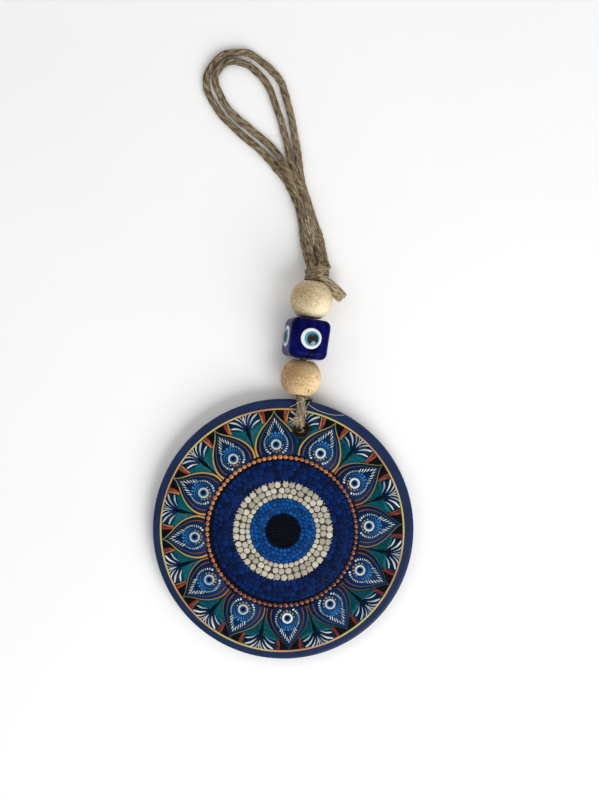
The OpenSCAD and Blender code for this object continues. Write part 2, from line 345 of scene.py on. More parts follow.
# ---------------------------------------------------------------- materials
def linear(rgb):
    """An sRGB colour of 0 to 255 as linear values with alpha."""
    out = []
    for v in rgb:
        v = v / 255
        out.append(v / 12.92 if v <= 0.04045 else ((v + 0.055) / 1.055) ** 2.4)
    return (*out, 1.0)


class Nodes:
    """Short ways to add and join shader nodes."""

    def __init__(self, name):
        self.material = bpy.data.materials.new(name)
        self.material.use_nodes = True
        self.tree = self.material.node_tree
        self.shader = self.tree.nodes["Principled BSDF"]

    def node(self, kind, **settings):
        node = self.tree.nodes.new(kind)
        for key, value in settings.items():
            setattr(node, key, value)
        return node

    def join(self, out, into):
        self.tree.links.new(out, into)

    def object_point(self):
        return self.node("ShaderNodeTexCoord").outputs["Object"]

    def attribute(self, name):
        return self.node("ShaderNodeAttribute", attribute_name=name)

    def noise(self, vector, scale, detail=3.0, rough=0.55, stretch=None):
        if stretch:
            mapping = self.node("ShaderNodeMapping")
            mapping.inputs["Scale"].default_value = stretch
            self.join(vector, mapping.inputs["Vector"])
            vector = mapping.outputs["Vector"]
        noise = self.node("ShaderNodeTexNoise")
        self.join(vector, noise.inputs["Vector"])
        noise.inputs["Scale"].default_value = scale
        noise.inputs["Detail"].default_value = detail
        noise.inputs["Roughness"].default_value = rough
        return noise.outputs["Fac"]

    def math(self, operation, a, b, clamp=False):
        node = self.node("ShaderNodeMath", operation=operation, use_clamp=clamp)
        for socket, value in zip(node.inputs, (a, b)):
            if isinstance(value, (int, float)):
                socket.default_value = value
            else:
                self.join(value, socket)
        return node.outputs[0]

    def ramp(self, factor, stops):
        node = self.node("ShaderNodeValToRGB")
        self.join(factor, node.inputs["Fac"])
        points = node.color_ramp.elements
        for k, (at, rgb) in enumerate(stops):
            point = points[k] if k < 2 else points.new(at)
            point.position = at
            point.color = linear(rgb)
        return node.outputs["Color"]

    def bump(self, height, distance):
        node = self.node("ShaderNodeBump")
        node.inputs["Distance"].default_value = distance * MM
        node.inputs["Strength"].default_value = 1.0
        self.join(height, node.inputs["Height"])
        return node.outputs["Normal"]

    def spread(self, factor, low, high):
        node = self.node("ShaderNodeMapRange")
        self.join(factor, node.inputs["Value"])
        node.inputs["To Min"].default_value = low
        node.inputs["To Max"].default_value = high
        return node.outputs["Result"]

    def surface(self, colour, normal=None, rough=None, **constants):
        """Joins the shader's colour, normal and roughness and sets its constants."""
        sockets = self.shader.inputs
        for out, name in ((colour, "Base Color"), (normal, "Normal"), (rough, "Roughness")):
            if out is not None:
                self.join(out, sockets[name])
        for key, value in constants.items():
            sockets[key.replace("_", " ")].default_value = value
        return self.material


def paint(name, stops, rough=(0.38, 0.55), grain=2600, relief=0.03, mottle=0.35, specular=0.16,
          speck=700):
    """Raised paint: each stroke's own tone, mottled, with a fine grain."""
    n = Nodes(name)
    point = n.object_point()
    mottled = n.math("MULTIPLY", n.math("SUBTRACT", n.noise(point, speck), 0.5), mottle * 2)
    factor = n.math("ADD", n.attribute("tone").outputs["Fac"], mottled, clamp=True)
    fine = n.noise(point, grain, detail=2)
    return n.surface(n.ramp(factor, stops), n.bump(fine, relief), n.spread(fine, *rough),
                     Specular_IOR_Level=specular)


def wood(name, stops, grain, heart, ringed):
    """Bare turned wood: year rings about its heart, pores, and dark cracks, with painted highlights and
    painted shade from its tone.
    """
    n = Nodes(name)
    point = n.object_point()
    shifted = n.node("ShaderNodeMapping")
    shifted.inputs["Location"].default_value = -Vector(heart) * MM
    n.join(point, shifted.inputs["Vector"])
    wave = n.node("ShaderNodeTexWave", wave_type="RINGS", rings_direction="SPHERICAL")
    n.join(shifted.outputs["Vector"], wave.inputs["Vector"])
    for socket, value in (("Scale", 400), ("Distortion", 6), ("Detail", 3), ("Detail Scale", 1.5)):
        wave.inputs[socket].default_value = value
    streaks = n.noise(point, 340, detail=3, stretch=(0.5, 3.4, 1.6))
    rings = n.math("ADD", n.math("MULTIPLY", wave.outputs["Fac"], ringed),
                   n.math("MULTIPLY", streaks, 1 - ringed))
    pores = n.noise(point, 3200, detail=2)
    sharp = n.spread(pores, -0.5, 1.5)
    mixed = n.math("ADD", n.math("MULTIPLY", rings, grain), n.math("MULTIPLY", sharp, 1 - grain))
    # The tone darkens the cracks and adds the painted highlights and painted shade.
    cracks_and_painted_light = n.math("SUBTRACT", mixed, n.attribute("tone").outputs["Fac"], clamp=True)
    return n.surface(n.ramp(cracks_and_painted_light, stops), n.bump(pores, 0.05), n.spread(pores, 0.5, 0.75),
                     Specular_IOR_Level=0.3)


def jute(name, stops):
    """Jute yarn: streaks along the fibres, and painted shade between the plies."""
    n = Nodes(name)
    fibre = n.attribute("fibre").outputs["Vector"]
    streak = n.noise(fibre, 3.0, detail=4, rough=0.7)
    patch = n.noise(n.object_point(), 220, detail=2)
    # Painted shade in the grooves between the plies, painted light on their crests.
    ply_shading = n.math("MULTIPLY", n.attribute("tone").outputs["Fac"], 0.4)
    mixed = n.math("ADD", n.math("MULTIPLY", n.spread(streak, -0.9, 1.9), 0.6), ply_shading)
    factor = n.math("ADD", mixed, n.spread(patch, -0.22, 0.1), clamp=True)
    return n.surface(n.ramp(factor, stops), n.bump(streak, 0.12), n.spread(streak, 0.65, 0.9),
                     Specular_IOR_Level=0.25)


def glass(name, rgb):
    """Deep cobalt glass with painted glints, brighter blue streaks along the bore, and faint waves in its
    surface.
    """
    n = Nodes(name)
    point = n.object_point()
    # Painted glints: brighter blue streaks along the twine's axis stand in for light passing through the
    # glass.
    streak = n.noise(point, 300, detail=2, stretch=(1, 0.16, 1))
    stops = [(0.42, rgb), (0.68, [v * 2.0 for v in rgb])]
    waves = n.noise(point, 240, detail=1)
    return n.surface(n.ramp(streak, stops), n.bump(waves, 0.04), Roughness=0.04, IOR=1.13,
                     Transmission_Weight=0.7, Specular_Tint=(0.42, 0.46, 1.0, 1.0))


def enamel(name, stops):
    """Opaque lampwork glass, glossy."""
    n = Nodes(name)
    point = n.object_point()
    waves = n.noise(point, 420, detail=1)
    return n.surface(n.ramp(n.noise(point, 500), stops), n.bump(waves, 0.05), Roughness=0.08,
                     Coat_Weight=0.5, Coat_Roughness=0.03)


def lacquer():
    """Navy lacquer, faintly clouded, with a fine grain."""
    n = Nodes("navy_lacquer")
    point = n.object_point()
    cloud = n.noise(point, 90, detail=5, rough=0.7)
    fine = n.noise(point, 3000, detail=2)
    stops = [(0.3, (17, 34, 68)), (0.7, (25, 46, 84))]
    return n.surface(n.ramp(cloud, stops), n.bump(fine, 0.02), n.spread(fine, 0.32, 0.5),
                     Specular_IOR_Level=0.16)


def fibreboard():
    """Bare pressed fibreboard."""
    n = Nodes("bare_fibreboard")
    point = n.object_point()
    speck = n.noise(point, 1500, detail=5, rough=0.75)
    stops = [(0.3, (58, 48, 38)), (0.55, (104, 84, 62)), (0.75, (136, 112, 84))]
    return n.surface(n.ramp(speck, stops), n.bump(speck, 0.08), n.spread(speck, 0.75, 0.95))


def pale_floor():
    n = Nodes("pale_floor")
    cloud = n.noise(n.object_point(), 9, detail=3)
    stops = [(0.3, (250, 250, 250)), (0.7, (253, 253, 253))]
    return n.surface(n.ramp(cloud, stops), rough=n.spread(cloud, 0.85, 0.95), Specular_IOR_Level=0.1)


# ---------------------------------------------------------------- twine routes
BACK_LEG_HALF = ((0.9, 1.1), (0.6, 1.5), (0.5, 1.7), (0.5, 1.7), (0.7, 1.6), (1.1, 1.4), (1.2, 1.2))
TWINE_R = 1.2
# Lowest height of a loose fibre
FIBRE_FLOOR = 0.08
# Height at which a fibre lies on the print beside the hole
FACE_TOP_Z = 7.75
# The loops are spun a little looser and thicker
LOOP_R = 1.34
# The routes of the twine in part.scad, point for point
BIGHT = (
    (-0.9, 43.6, 9.15), (-0.7, 42.4, 9.1), (-0.35, 41.2, 8.7), (-0.15, 40.7, 7.7),
    (-0.1, 40.6, 5), (0, 40.7, 2.5), (0.1, 41.2, 1.6), (0.3, 42.4, 1.25), (0.4, 43.6, 1.25),
)
FRONT_LEG = ((-0.9, 43.6, 9.15), (-1.4, 47, 9.25), (-2, 50, 9.15), (-2.6, 51.6, 8.9))
BACK_LEG = (
    (-2.7, 51.5, 6.4), (-2.3, 51, 6.1), (-0.8, 50.7, 4.9), (0.6, 50.7, 3.3),
    (1, 50.5, 2), (0.9, 49.6, 1.3), (0.7, 48, 1.25),
)
CORE_UPPER = (
    (-2.6, 52.1, 8.85), (-3.3, 58.2, 8.95), (-3.6, 63.8, 9.15), (-3.7, 65.6, 9.75),
    (-4, 73.1, 9.95), (-4.3, 80.6, 9.8), (-4.4, 82.4, 9.4), (-4.6, 88.2, 9.25), (-4.8, 96, 9),
)
CORE_LOWER = (
    (-2.7, 52.1, 6.45), (-3.3, 58.2, 6.5), (-3.6, 63.8, 6.7), (-3.7, 65.6, 7.3),
    (-4, 73.1, 7.5), (-4.3, 80.6, 7.35), (-4.4, 82.4, 6.95), (-4.6, 88.2, 6.8), (-4.8, 96, 6.55),
)
TAILS = (
    ((-1.4, 99, 8.2), (1.8, 97.4, 8.6), (5, 94.8, 8.3), (7.8, 92, 7.4)),
    ((-1.6, 98, 5.7), (1.4, 95.8, 5.9), (4.4, 93, 5.5), (6.8, 90.4, 4.7)),
)
OUTER_LOOP = (
    (-3, 102.6, 4.4), (-4, 106, 2.5), (-6, 112.5, 1.25), (-8.7, 118.5, 1.25),
    (-11.8, 124.5, 1.25), (-14.7, 130, 1.25), (-17, 135.5, 1.25), (-18.9, 141, 1.25),
    (-20.8, 146.5, 1.25), (-22.6, 152, 1.25), (-24.6, 157.5, 1.25), (-27.2, 163, 1.25),
    (-30.6, 169, 1.25), (-35, 173.6, 1.25), (-40.6, 176.8, 1.25), (-46.4, 178.4, 1.25),
    (-52, 177.6, 1.25), (-56.4, 174.6, 1.25), (-59, 170, 1.25), (-59.2, 165, 1.25),
    (-57, 159.6, 1.25), (-52.4, 154.2, 1.25), (-46.8, 150.2, 1.25), (-41, 146.4, 1.25),
    (-35.2, 142.8, 1.25), (-29.6, 139, 1.25), (-24.6, 134.8, 1.25), (-20.4, 130.2, 1.25),
    (-16.8, 125, 1.25), (-14, 118.8, 1.25), (-11.8, 112.6, 1.25), (-9, 106.6, 2.5),
    (-6.9, 102.6, 4.4),
)
INNER_LOOP = (
    (-3.6, 102.9, 7.2), (-4.9, 106.2, 5.4), (-7.4, 112.5, 3.7), (-9.9, 118.5, 3.65),
    (-12.6, 124.5, 3.7), (-15.8, 130, 3.75), (-19.1, 135, 3), (-21.9, 140, 1.4),
    (-23.8, 145, 1.25), (-26, 150, 1.25), (-28.2, 155, 1.25), (-31, 160, 1.25),
    (-33.8, 165, 1.25), (-37.6, 169.4, 1.25), (-42.2, 172.6, 1.25), (-47, 174.4, 1.25),
    (-51.6, 174.2, 1.25), (-54.8, 171.6, 1.25), (-56, 167.6, 1.25), (-54.8, 163.2, 1.25),
    (-51.2, 158.2, 1.25), (-45.6, 153.4, 1.25), (-39.4, 149.8, 1.25), (-33, 146.2, 1.25),
    (-28, 142.4, 2), (-24.4, 138.4, 4), (-21.1, 134, 5.3), (-18.4, 129.4, 4.4),
    (-15.6, 124.6, 3.8), (-12.9, 118.6, 3.65), (-10.4, 112.6, 3.7), (-8.2, 106.4, 5.4),
    (-6.6, 102.9, 7.2),
)
# The outer loop's legs lie this much further out where they leave the knot
SPLAY = ((1.3, 0.5), (0.95, 0.6), (0.4, 0.3))


# ---------------------------------------------------------------- rope
def lobe(angle, plies):
    """Outline radius of twisted plies at an angle, 1 at each ply's crest."""
    ply_r = 0.7
    off = 1 - ply_r
    step = 2 * math.pi / plies
    a = (angle + step / 2) % step - step / 2
    return off * math.cos(a) + math.sqrt(max(ply_r ** 2 - (off * math.sin(a)) ** 2, 0.04))


class Rope:
    """A twisted rope along a route, as a mesh and the line that it follows."""

    def __init__(self, route, across, half=((TWINE_R, TWINE_R),), seed=1, step=0.45, turn=13.0,
                 plies=3, sides=32, sway=1.0):
        self.rng = random.Random(seed)
        self.line = resample(spline(route), step)
        ease = np.clip(np.minimum(np.arange(len(self.line)), np.arange(len(self.line))[::-1]) / 14, 0, 1)
        for axis, reach in ((0, 0.24), (1, 0.24), (2, 0.05)):
            self.line[:, axis] += self.waver(reach * sway, 12) * ease
        self.half = half
        self.across = np.array(across, float)
        self.turn = turn
        self.plies = plies
        self.sides = sides
        self.step = np.linalg.norm(self.line[1] - self.line[0])
        self.frames()

    def frames(self):
        """Side and up directions at each point of the line."""
        ahead = np.gradient(self.line, axis=0)
        ahead /= np.linalg.norm(ahead, axis=1)[:, None]
        side = self.across - (ahead @ self.across)[:, None] * ahead
        side /= np.linalg.norm(side, axis=1)[:, None]
        self.ahead, self.side, self.up = ahead, side, np.cross(side, ahead)

    def waver(self, reach, every):
        """A value that wanders about 0 along the rope."""
        n = len(self.line)
        marks = [self.rng.uniform(-reach, reach) for _ in range(max(3, n // every))]
        coarse = spline([(m, 0) for m in marks], 8)[:, 0]
        return np.interp(np.linspace(0, 1, n), np.linspace(0, 1, len(coarse)), coarse)

    def sizes(self):
        """Half height and half width at each point, uneven as hand-spun yarn is."""
        at = np.linspace(0, 1, len(self.line))
        marks = np.linspace(0, 1, len(self.half))
        size = np.stack([np.interp(at, marks, [h[k] for h in self.half]) for k in (0, 1)], 1)
        return size * (1 + self.waver(0.07, 7) + self.waver(0.13, 20))[:, None]

    def half_at(self, share):
        """Half height and half width at a share of the rope's length."""
        return self.half[min(len(self.half) - 1, int(share * len(self.half)))]

    def around(self, i, angle, half, out):
        """A point about the line, on an oval of that half height and half width times out."""
        q = self.line[i] + half[1] * out * math.cos(angle) * self.side[i]
        return q + half[0] * out * math.sin(angle) * self.up[i]

    def mesh(self, shape):
        """Adds the rope's closed surface to a shape."""
        size = self.sizes()
        phase = [self.rng.uniform(0, 6.28) for _ in range(5)]
        offset = self.rng.uniform(0, 50)
        verts, tones, fibres = [], [], []
        last = len(self.line) - 1
        for i in range(last + 1):
            run = i * self.step
            for k in range(self.sides):
                base = 2 * math.pi * k / self.sides
                r = lobe(base, self.plies)
                hair = 0.045 * math.sin(9 * base + 0.9 * run + phase[0] + math.sin(run * 0.7))
                hair += 0.04 * math.sin(14 * base - 1.3 * run + phase[1])
                hair += 0.03 * math.sin(5 * base + 2.9 * run + phase[2])
                hair += self.rng.uniform(-0.03, 0.03)
                a = base + 2 * math.pi * run / self.turn + phase[3]
                q = self.around(i, a, size[i], r + hair)
                q[2] = max(q[2], 0.03)
                verts.append(q)
                # Painted light and shade: the tone is brighter on each ply's crest and darker in the
                # grooves between the plies.
                tones.append(min(1, max(0, 0.25 + 0.5 * (r - 0.8) / 0.2 + hair * 4)))
                fibres.append((math.cos(base) * 1.6, math.sin(base) * 1.6, offset + run * 0.14))
        n = self.sides
        faces = strips(last + 1, n)
        for i in (0, last):
            verts.append(self.line[i])
            tones.append(0.3)
            fibres.append((0, 0, offset))
            hub = len(verts) - 1
            faces += [[i * n + k, i * n + (k + 1) % n, hub] for k in range(n)]
        shape.add(verts, faces, tones, fibres)


def hair(shape, points, thick, tone, taper=0.65):
    """One loose fibre: a thin tapered tube with three sides."""
    pts = np.array(points, float)
    ahead = np.gradient(pts, axis=0)
    ahead /= np.linalg.norm(ahead, axis=1)[:, None] + 1e-9
    ref = np.array((0.3, 0.2, 0.93))
    verts = []
    for i, p in enumerate(pts):
        s = np.cross(ahead[i], ref)
        s /= np.linalg.norm(s) + 1e-9
        u = np.cross(ahead[i], s)
        r = thick * (1 - taper * i / (len(pts) - 1))
        for k in range(3):
            a = 2 * math.pi * k / 3
            q = p + r * (math.cos(a) * s + math.sin(a) * u)
            verts.append((q[0], q[1], max(q[2], 0.02)))
    shape.add(verts, strips(len(pts), 3) + caps(len(pts), 3), tone, [(tone, 0.3, 1.0)] * len(verts))


def fuzz(shape, rope, count, lengths, rng, first=0.0, last=1.0, lift=1.0, thick=0.04):
    """Loose fibres that leave a rope's surface at a low angle."""
    n = len(rope.line)
    for _ in range(count):
        at = first + (last - first) * rng.random()
        i = min(n - 1, int(at * n))
        half = rope.half_at(at)
        a = rng.uniform(0, 2 * math.pi)
        out = math.cos(a) * rope.side[i] + math.sin(a) * rope.up[i]
        start = rope.line[i] + out * 0.85 * min(half)
        sway = rope.ahead[i] * rng.choice((-1, 1)) * rng.uniform(0.6, 1.6)
        turn = np.array([rng.uniform(-0.5, 0.5) for _ in range(3)])
        aim = out * rng.uniform(0.15, 0.9) * lift + sway + turn
        aim /= np.linalg.norm(aim)
        bend = np.array([rng.uniform(-0.5, 0.5) for _ in range(3)]) - out * rng.uniform(0, 0.5)
        length = rng.uniform(*lengths)
        steps = np.linspace(0, 1, 6)
        points = [start + aim * length * t + bend * length * t * t for t in steps]
        for p in points:
            p[2] = max(p[2], FIBRE_FLOOR)
        hair(shape, points, thick * rng.uniform(0.7, 1.3), rng.uniform(0.5, 1.0))


def strands(shape, rope, count, lengths, rng, first=0.0, last=1.0, thick=0.06, dull=1.3, dark=0.0):
    """Long fibres that lie along a rope's surface; a share of them is dark."""
    n = len(rope.line)
    for _ in range(count):
        begin = int((first + (last - first) * rng.random()) * n)
        span = int(rng.uniform(*lengths) / rope.step)
        stop = min(n - 1, begin + span, int(last * n))
        if stop - begin < 6:
            continue
        a = rng.uniform(0, 2 * math.pi)
        drift = rng.uniform(-0.04, 0.16)
        points = []
        for i in range(begin, stop, 2):
            a += (drift + rng.uniform(-0.12, 0.12)) * rope.step * 2
            q = rope.around(i, a, rope.half_at(i / n), rng.uniform(0.98 - thick, 1.08 - thick))
            q[2] = max(q[2], FIBRE_FLOOR)
            points.append(q)
        tone = rng.uniform(0, 0.1) if rng.random() < dark else rng.random() ** dull
        hair(shape, points, thick * rng.uniform(0.6, 1.5), tone)


def bundle_fibres(shape, rope, rng, count, reach):
    """Fibres that bridge a loop's two legs where they lie side by side."""
    n = len(rope.line)
    top = int(reach / rope.step)
    for _ in range(count):
        begin = rng.randrange(0, int(top * 0.75))
        stop = min(top, begin + int(rng.uniform(5, 11) / rope.step))
        share, drift = rng.random(), rng.uniform(-0.025, 0.025)
        z = rng.uniform(0.2, 1.25)
        points = []
        for i in range(begin, stop, 2):
            share = min(1.15, max(-0.15, share + drift + rng.uniform(-0.05, 0.05)))
            q = rope.line[i] * (1 - share) + rope.line[n - 1 - i] * share
            q[2] += z * (1 - (2 * share - 1) ** 2 * 0.25)
            points.append(q)
        if len(points) > 3:
            tone = rng.uniform(0, 0.08) if rng.random() < 0.3 else rng.random() ** 0.6
            hair(shape, points, rng.uniform(0.07, 0.17), tone)


def splayed(route):
    """A loop's route with its two legs spread at the knot."""
    out = [list(p) for p in route]
    for k, (side, up) in enumerate(SPLAY):
        out[k][0] += side
        out[-1 - k][0] -= side
        out[k][2] += up
        out[-1 - k][2] += up
    return out


def make_cords(jute_material, fibre_material):
    """The two loops, each one cord from the knot and back to it."""
    routes = {"outer": splayed(OUTER_LOOP), "inner": INNER_LOOP}
    for k, (name, route) in enumerate(routes.items()):
        rope = Rope(route, (0, 0, 1), half=((LOOP_R, LOOP_R),), seed=11 + k, turn=14.0 + 3 * k)
        shape = Shape()
        rope.mesh(shape)
        node = f"twine_{name}_loop"
        cord = make_piece(f"loop_{name}_twine", shape, jute_material, None, replaces=[node])
        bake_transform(cord)
        loose = Shape()
        fuzz(loose, rope, 620, (0.8, 3.4), random.Random(31 + k), first=0.02, last=0.98)
        fuzz(loose, rope, 40, (3, 6), random.Random(41 + k), first=0.05, last=0.95, lift=1.6, thick=0.045)
        strands(loose, rope, 900, (2, 7), random.Random(45 + k), thick=0.075, dull=0.9, dark=0.25)
        strands(loose, rope, 420, (2, 6), random.Random(49 + k), thick=0.14, dull=0.7, dark=0.4)
        if name == "inner":
            bundle_fibres(loose, rope, random.Random(48), count=320, reach=28)
        fibres = make_piece(f"loop_{name}_fibres", loose, fibre_material, None)
        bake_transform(fibres)


# Half height and half width of the leg in front of the plaque, point by point
FRONT_LEG_HALF = ((1.3, 1.7), (1.35, 1.95), (1.3, 1.7), (1.3, 1.55), (1.25, 1.4))


def make_hanger(jute_material):
    """The twine from the knot down through the beads, round the plaque's edge and back."""
    route = list(reversed(CORE_LOWER)) + list(BACK_LEG) + list(reversed(BIGHT))
    route += list(FRONT_LEG[1:]) + list(CORE_UPPER[1:])
    plain = (TWINE_R, TWINE_R)
    half = [plain] * (len(CORE_LOWER) - 1) + [(1.0, 1.1)] + list(BACK_LEG_HALF)
    half += [plain] * (len(BIGHT) - 2) + list(FRONT_LEG_HALF) + [plain] * (len(CORE_UPPER) - 1)
    rope = Rope(route, (1, 0, 0), half=even_half(route, half), seed=5, step=0.4, turn=24.0, sway=0.3)
    shape = Shape()
    rope.mesh(shape)
    names = ["twine_bight", "twine_front_leg", "twine_back_leg", "twine_back_run", "twine_core"]
    hanger = make_piece("hanger_twine", shape, jute_material, None, replaces=names)
    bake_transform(hanger)
    return rope


def even_half(route, half):
    """Half sizes at a route's points, spread evenly along its length."""
    pts = np.array(route, float)
    run = np.concatenate([[0], np.cumsum(np.linalg.norm(np.diff(pts, axis=0), axis=1))])
    at = np.linspace(0, run[-1], 240)
    pairs = np.array(half[:len(route)])
    return np.stack([np.interp(at, run, pairs[:, k]) for k in (0, 1)], 1).tolist()


# Size of the knot's wraps about the bundle: half width and half height of their line
KNOT_A = 3.4
KNOT_B = 2.15
KNOT_PITCH = 2.0
KNOT_SLANT = 1.15
KNOT_R = 1.36
# The wraps sit a little closer to the bead than the plain knot's middle
KNOT_DROP = 0.5
# How flat the wraps lie behind the bundle, and how tightly they are packed along it
KNOT_BACK = 0.82
KNOT_PACK = 0.9
# The strands that the wraps hold: both legs of each loop, and the twine's end in their middle
KNOT_BUNDLE = (
    ((-3.2, 96, 5.2), (-2.6, 99, 4.8), (-1.7, 102.7, 4.9)),
    ((-5.6, 96, 5.4), (-6.6, 99, 4.9), (-8.2, 102.7, 4.9)),
    ((-3.4, 96, 7.4), (-3.5, 99, 7.6), (-3.6, 103, 7.2)),
    ((-5.8, 96, 7.4), (-6.2, 99, 7.6), (-6.6, 103, 7.2)),
    ((-4.4, 96, 6.2), (-4.8, 99, 6.4), (-5.2, 104, 6)),
)
BUNDLE_R = 1.25


def knot_route(turns):
    """A slanted wrap about the bundle of strands."""
    lean = Vector(joint("upper_bead_spin")["axis"])
    along = np.array(lean.normalized())
    centre = np.array(box_centre("twine_knot")) - along * KNOT_DROP
    across = np.cross(along, (0, 0, 1))
    points = []
    for a in np.arange(turns[0], turns[1], 0.25):
        rise = KNOT_SLANT * math.cos(a) - KNOT_PITCH * (a - sum(turns) / 2) / (2 * math.pi)
        squeeze = KNOT_BACK if math.sin(a) < 0 else 1.0
        points.append(centre + across * KNOT_A * math.cos(a) + along * rise * KNOT_PACK
                      + np.array((0, 0, 1)) * KNOT_B * math.sin(a) * squeeze)
    return points


# How far the cut ends lie from the plain ones in part.scad, point by point
TAIL_SHIFTS = (((-2.0, -1.4), (-1.6, -1.1), (-1.1, -0.6), (-0.6, -0.1)),
               ((-2.3, -1.6), (-1.9, -1.2), (-1.3, -0.6), (-0.8, 0.15)))
# Half height and half width of a cut end, wider towards its brush
TAIL_HALF = ((1.3, 1.3), (1.3, 1.7), (1.3, 2.05), (1.3, 2.2))


def make_knot(jute_material, pale_material):
    """The doubled knot: wraps round the bundle, and two cut ends."""
    shape = Shape()
    wraps = Rope(knot_route((-1.1, 5 * math.pi + 0.4)), (0, 1, 0), seed=21, step=0.35, turn=15,
                 half=((KNOT_R, KNOT_R),))
    wraps.mesh(shape)
    make_piece("knot_wraps", shape, jute_material, "stack", replaces=["twine_knot"])
    core = Shape()
    for k, route in enumerate(KNOT_BUNDLE):
        rope = Rope(route, (1, 0, 0), seed=51 + k, half=((BUNDLE_R, BUNDLE_R),), sides=24, sway=0)
        rope.mesh(core)
        strands(core, rope, 60, (3, 7), random.Random(55 + k), thick=0.13, dull=0.7, dark=0.4)
    make_piece("knot_bundle", core, jute_material, "stack")
    ends = Shape()
    tails = []
    for k, (plain, shifts) in enumerate(zip(TAILS, TAIL_SHIFTS)):
        route = [(x + dx, y + dy, z) for (x, y, z), (dx, dy) in zip(plain, shifts)]
        tails.append(Rope(route, (0, 0, 1), seed=61 + k, half=TAIL_HALF, turn=40, step=0.35, sway=0.4))
        tails[-1].mesh(ends)
    make_piece("twine_cut_ends", ends, pale_material, "stack", replaces=["twine_tails"])
    return wraps, tails


def make_knot_fibres(wraps, material):
    """Fuzz and loose strands on the knot."""
    rng = random.Random(71)
    loose = Shape()
    fuzz(loose, wraps, 150, (0.8, 3.0), rng)
    strands(loose, wraps, 450, (2, 6), rng, thick=0.08, dull=0.9, dark=0.25)
    strands(loose, wraps, 240, (2, 5), rng, thick=0.14, dull=0.8, dark=0.5)
    make_piece("knot_fibres", loose, material, "stack")


def make_tail_fibres(tails, material):
    """The pale loosened fibres of the two cut ends, cut off square."""
    rng = random.Random(73)
    loose = Shape()
    for rope in tails:
        fuzz(loose, rope, 60, (0.8, 2.4), rng, first=0.2, last=0.9)
        strands(loose, rope, 240, (2, 8), rng, thick=0.08, dull=0.6, dark=0.2)
        strands(loose, rope, 110, (2, 7), rng, first=0.15, thick=0.14, dull=0.5, dark=0.3)
        brush(loose, rope, rng)
    make_piece("cut_end_fibres", loose, material, "stack")


def brush(shape, rope, rng):
    """The short fibres that stand out of a cut end."""
    last = len(rope.line) - 1
    for _ in range(190):
        a = rng.uniform(0, 2 * math.pi)
        share = math.sqrt(rng.random())
        off = rope.side[last] * math.cos(a) * share * 1.7 + rope.up[last] * math.sin(a) * share
        start = rope.line[last - 3] + off
        end = rope.line[last] + off * 1.06 + rope.ahead[last] * rng.uniform(0.35, 0.75)
        points = [start + (end - start) * t for t in np.linspace(0, 1, 4)]
        tone = rng.uniform(0, 0.1) if rng.random() < 0.25 else rng.uniform(0.4, 1.0)
        hair(shape, points, rng.uniform(0.08, 0.15), tone, taper=0.3)


def make_hanger_fibres(rope, material):
    """Fuzz on the leg in front of the plaque, and the frayed fan at the hole."""
    rng = random.Random(81)
    on_leg = [i for i, p in enumerate(rope.line) if p[2] > 8 and 42 < p[1] < 52]
    leg = {"first": on_leg[0] / len(rope.line), "last": on_leg[-1] / len(rope.line)}
    loose = Shape()
    fuzz(loose, rope, 120, (0.8, 3.2), rng, lift=0.8, **leg)
    strands(loose, rope, 200, (2, 7), rng, thick=0.08, dull=0.5, dark=0.2, **leg)
    strands(loose, rope, 110, (2, 6), rng, thick=0.14, dull=0.45, dark=0.35, **leg)
    hole_shade_fibres(loose, rng)
    frayed_fan(loose, rng)
    fibres = make_piece("hanger_fibres", loose, material, None)
    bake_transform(fibres)


def frayed_fan(shape, rng):
    """The pale fibres that spread from the front leg's foot over the hole."""
    for _ in range(110):
        x = rng.uniform(-1.8, 0.6)
        start = np.array((x - 0.4, rng.uniform(42.2, 44.2), rng.uniform(9.3, 10.3)))
        aim = np.array((x * 0.55 + rng.uniform(-0.35, 0.35), -1, rng.uniform(-0.75, -0.05)))
        length = rng.uniform(1.2, 3.6)
        drop = np.array((rng.uniform(-0.3, 0.3), 0, -0.35))
        points = [start + aim * length * t + drop * length * t * t for t in np.linspace(0, 1, 6)]
        for p in points:
            if math.hypot(p[0], p[1] - HOLE_OFFSET) > HOLE_R - 0.1:
                p[2] = max(p[2], FACE_TOP_Z)
        hair(shape, points, rng.uniform(0.05, 0.11), rng.uniform(0.5, 1.0))


def hole_shade_fibres(shape, rng):
    """A mat of short fibres that the twine leaves in the hole, mostly dark, put there as painted shade for
    the hole's depth.
    """
    for _ in range(300):
        a, b = rng.uniform(0, 6.28), rng.uniform(0, 6.28)
        reach = (HOLE_R - 0.35) * math.sqrt(rng.random())
        z = rng.uniform(0.5, 3.4)
        middle = np.array((reach * math.cos(a), HOLE_OFFSET + reach * math.sin(a), z))
        aim = np.array((math.cos(b), math.sin(b), rng.uniform(-0.3, 0.3))) * rng.uniform(0.7, 1.6)
        points = [middle + aim * t for t in (-1, -0.5, 0, 0.5, 1)]
        for p in points:
            off = p[:2] - np.array((0, HOLE_OFFSET))
            far = np.linalg.norm(off)
            p[:2] -= off * max(0, 1 - (HOLE_R - 0.2) / max(far, 1e-6))
            p[2] = max(p[2], 0.1)
        hair(shape, points, rng.uniform(0.09, 0.15), rng.uniform(0.2, 0.62))


# Long pale fibres that lie on the plaque beside the twine
STRAY_FIBRES = (
    ((-5.5, 46.4, 8.3), (-3.8, 47.8, 8.9), (-2.4, 48.9, 10.9), (0.5, 50.8, 9.1)),
    ((0.7, 46.9, 8.3), (0.9, 48.4, 8.7), (1.5, 49.9, 8.8)),
    ((1.1, 48.9, 8.6), (3.6, 47.6, 8.2), (6.1, 46.9, 8.2), (11, 46.4, 8.2), (15.5, 47.1, 8.1)),
    ((-0.8, 41.0, 8.3), (0.3, 39.2, 8.0), (1.2, 38.4, 8.0), (-0.6, 37.4, 8.0)),
)


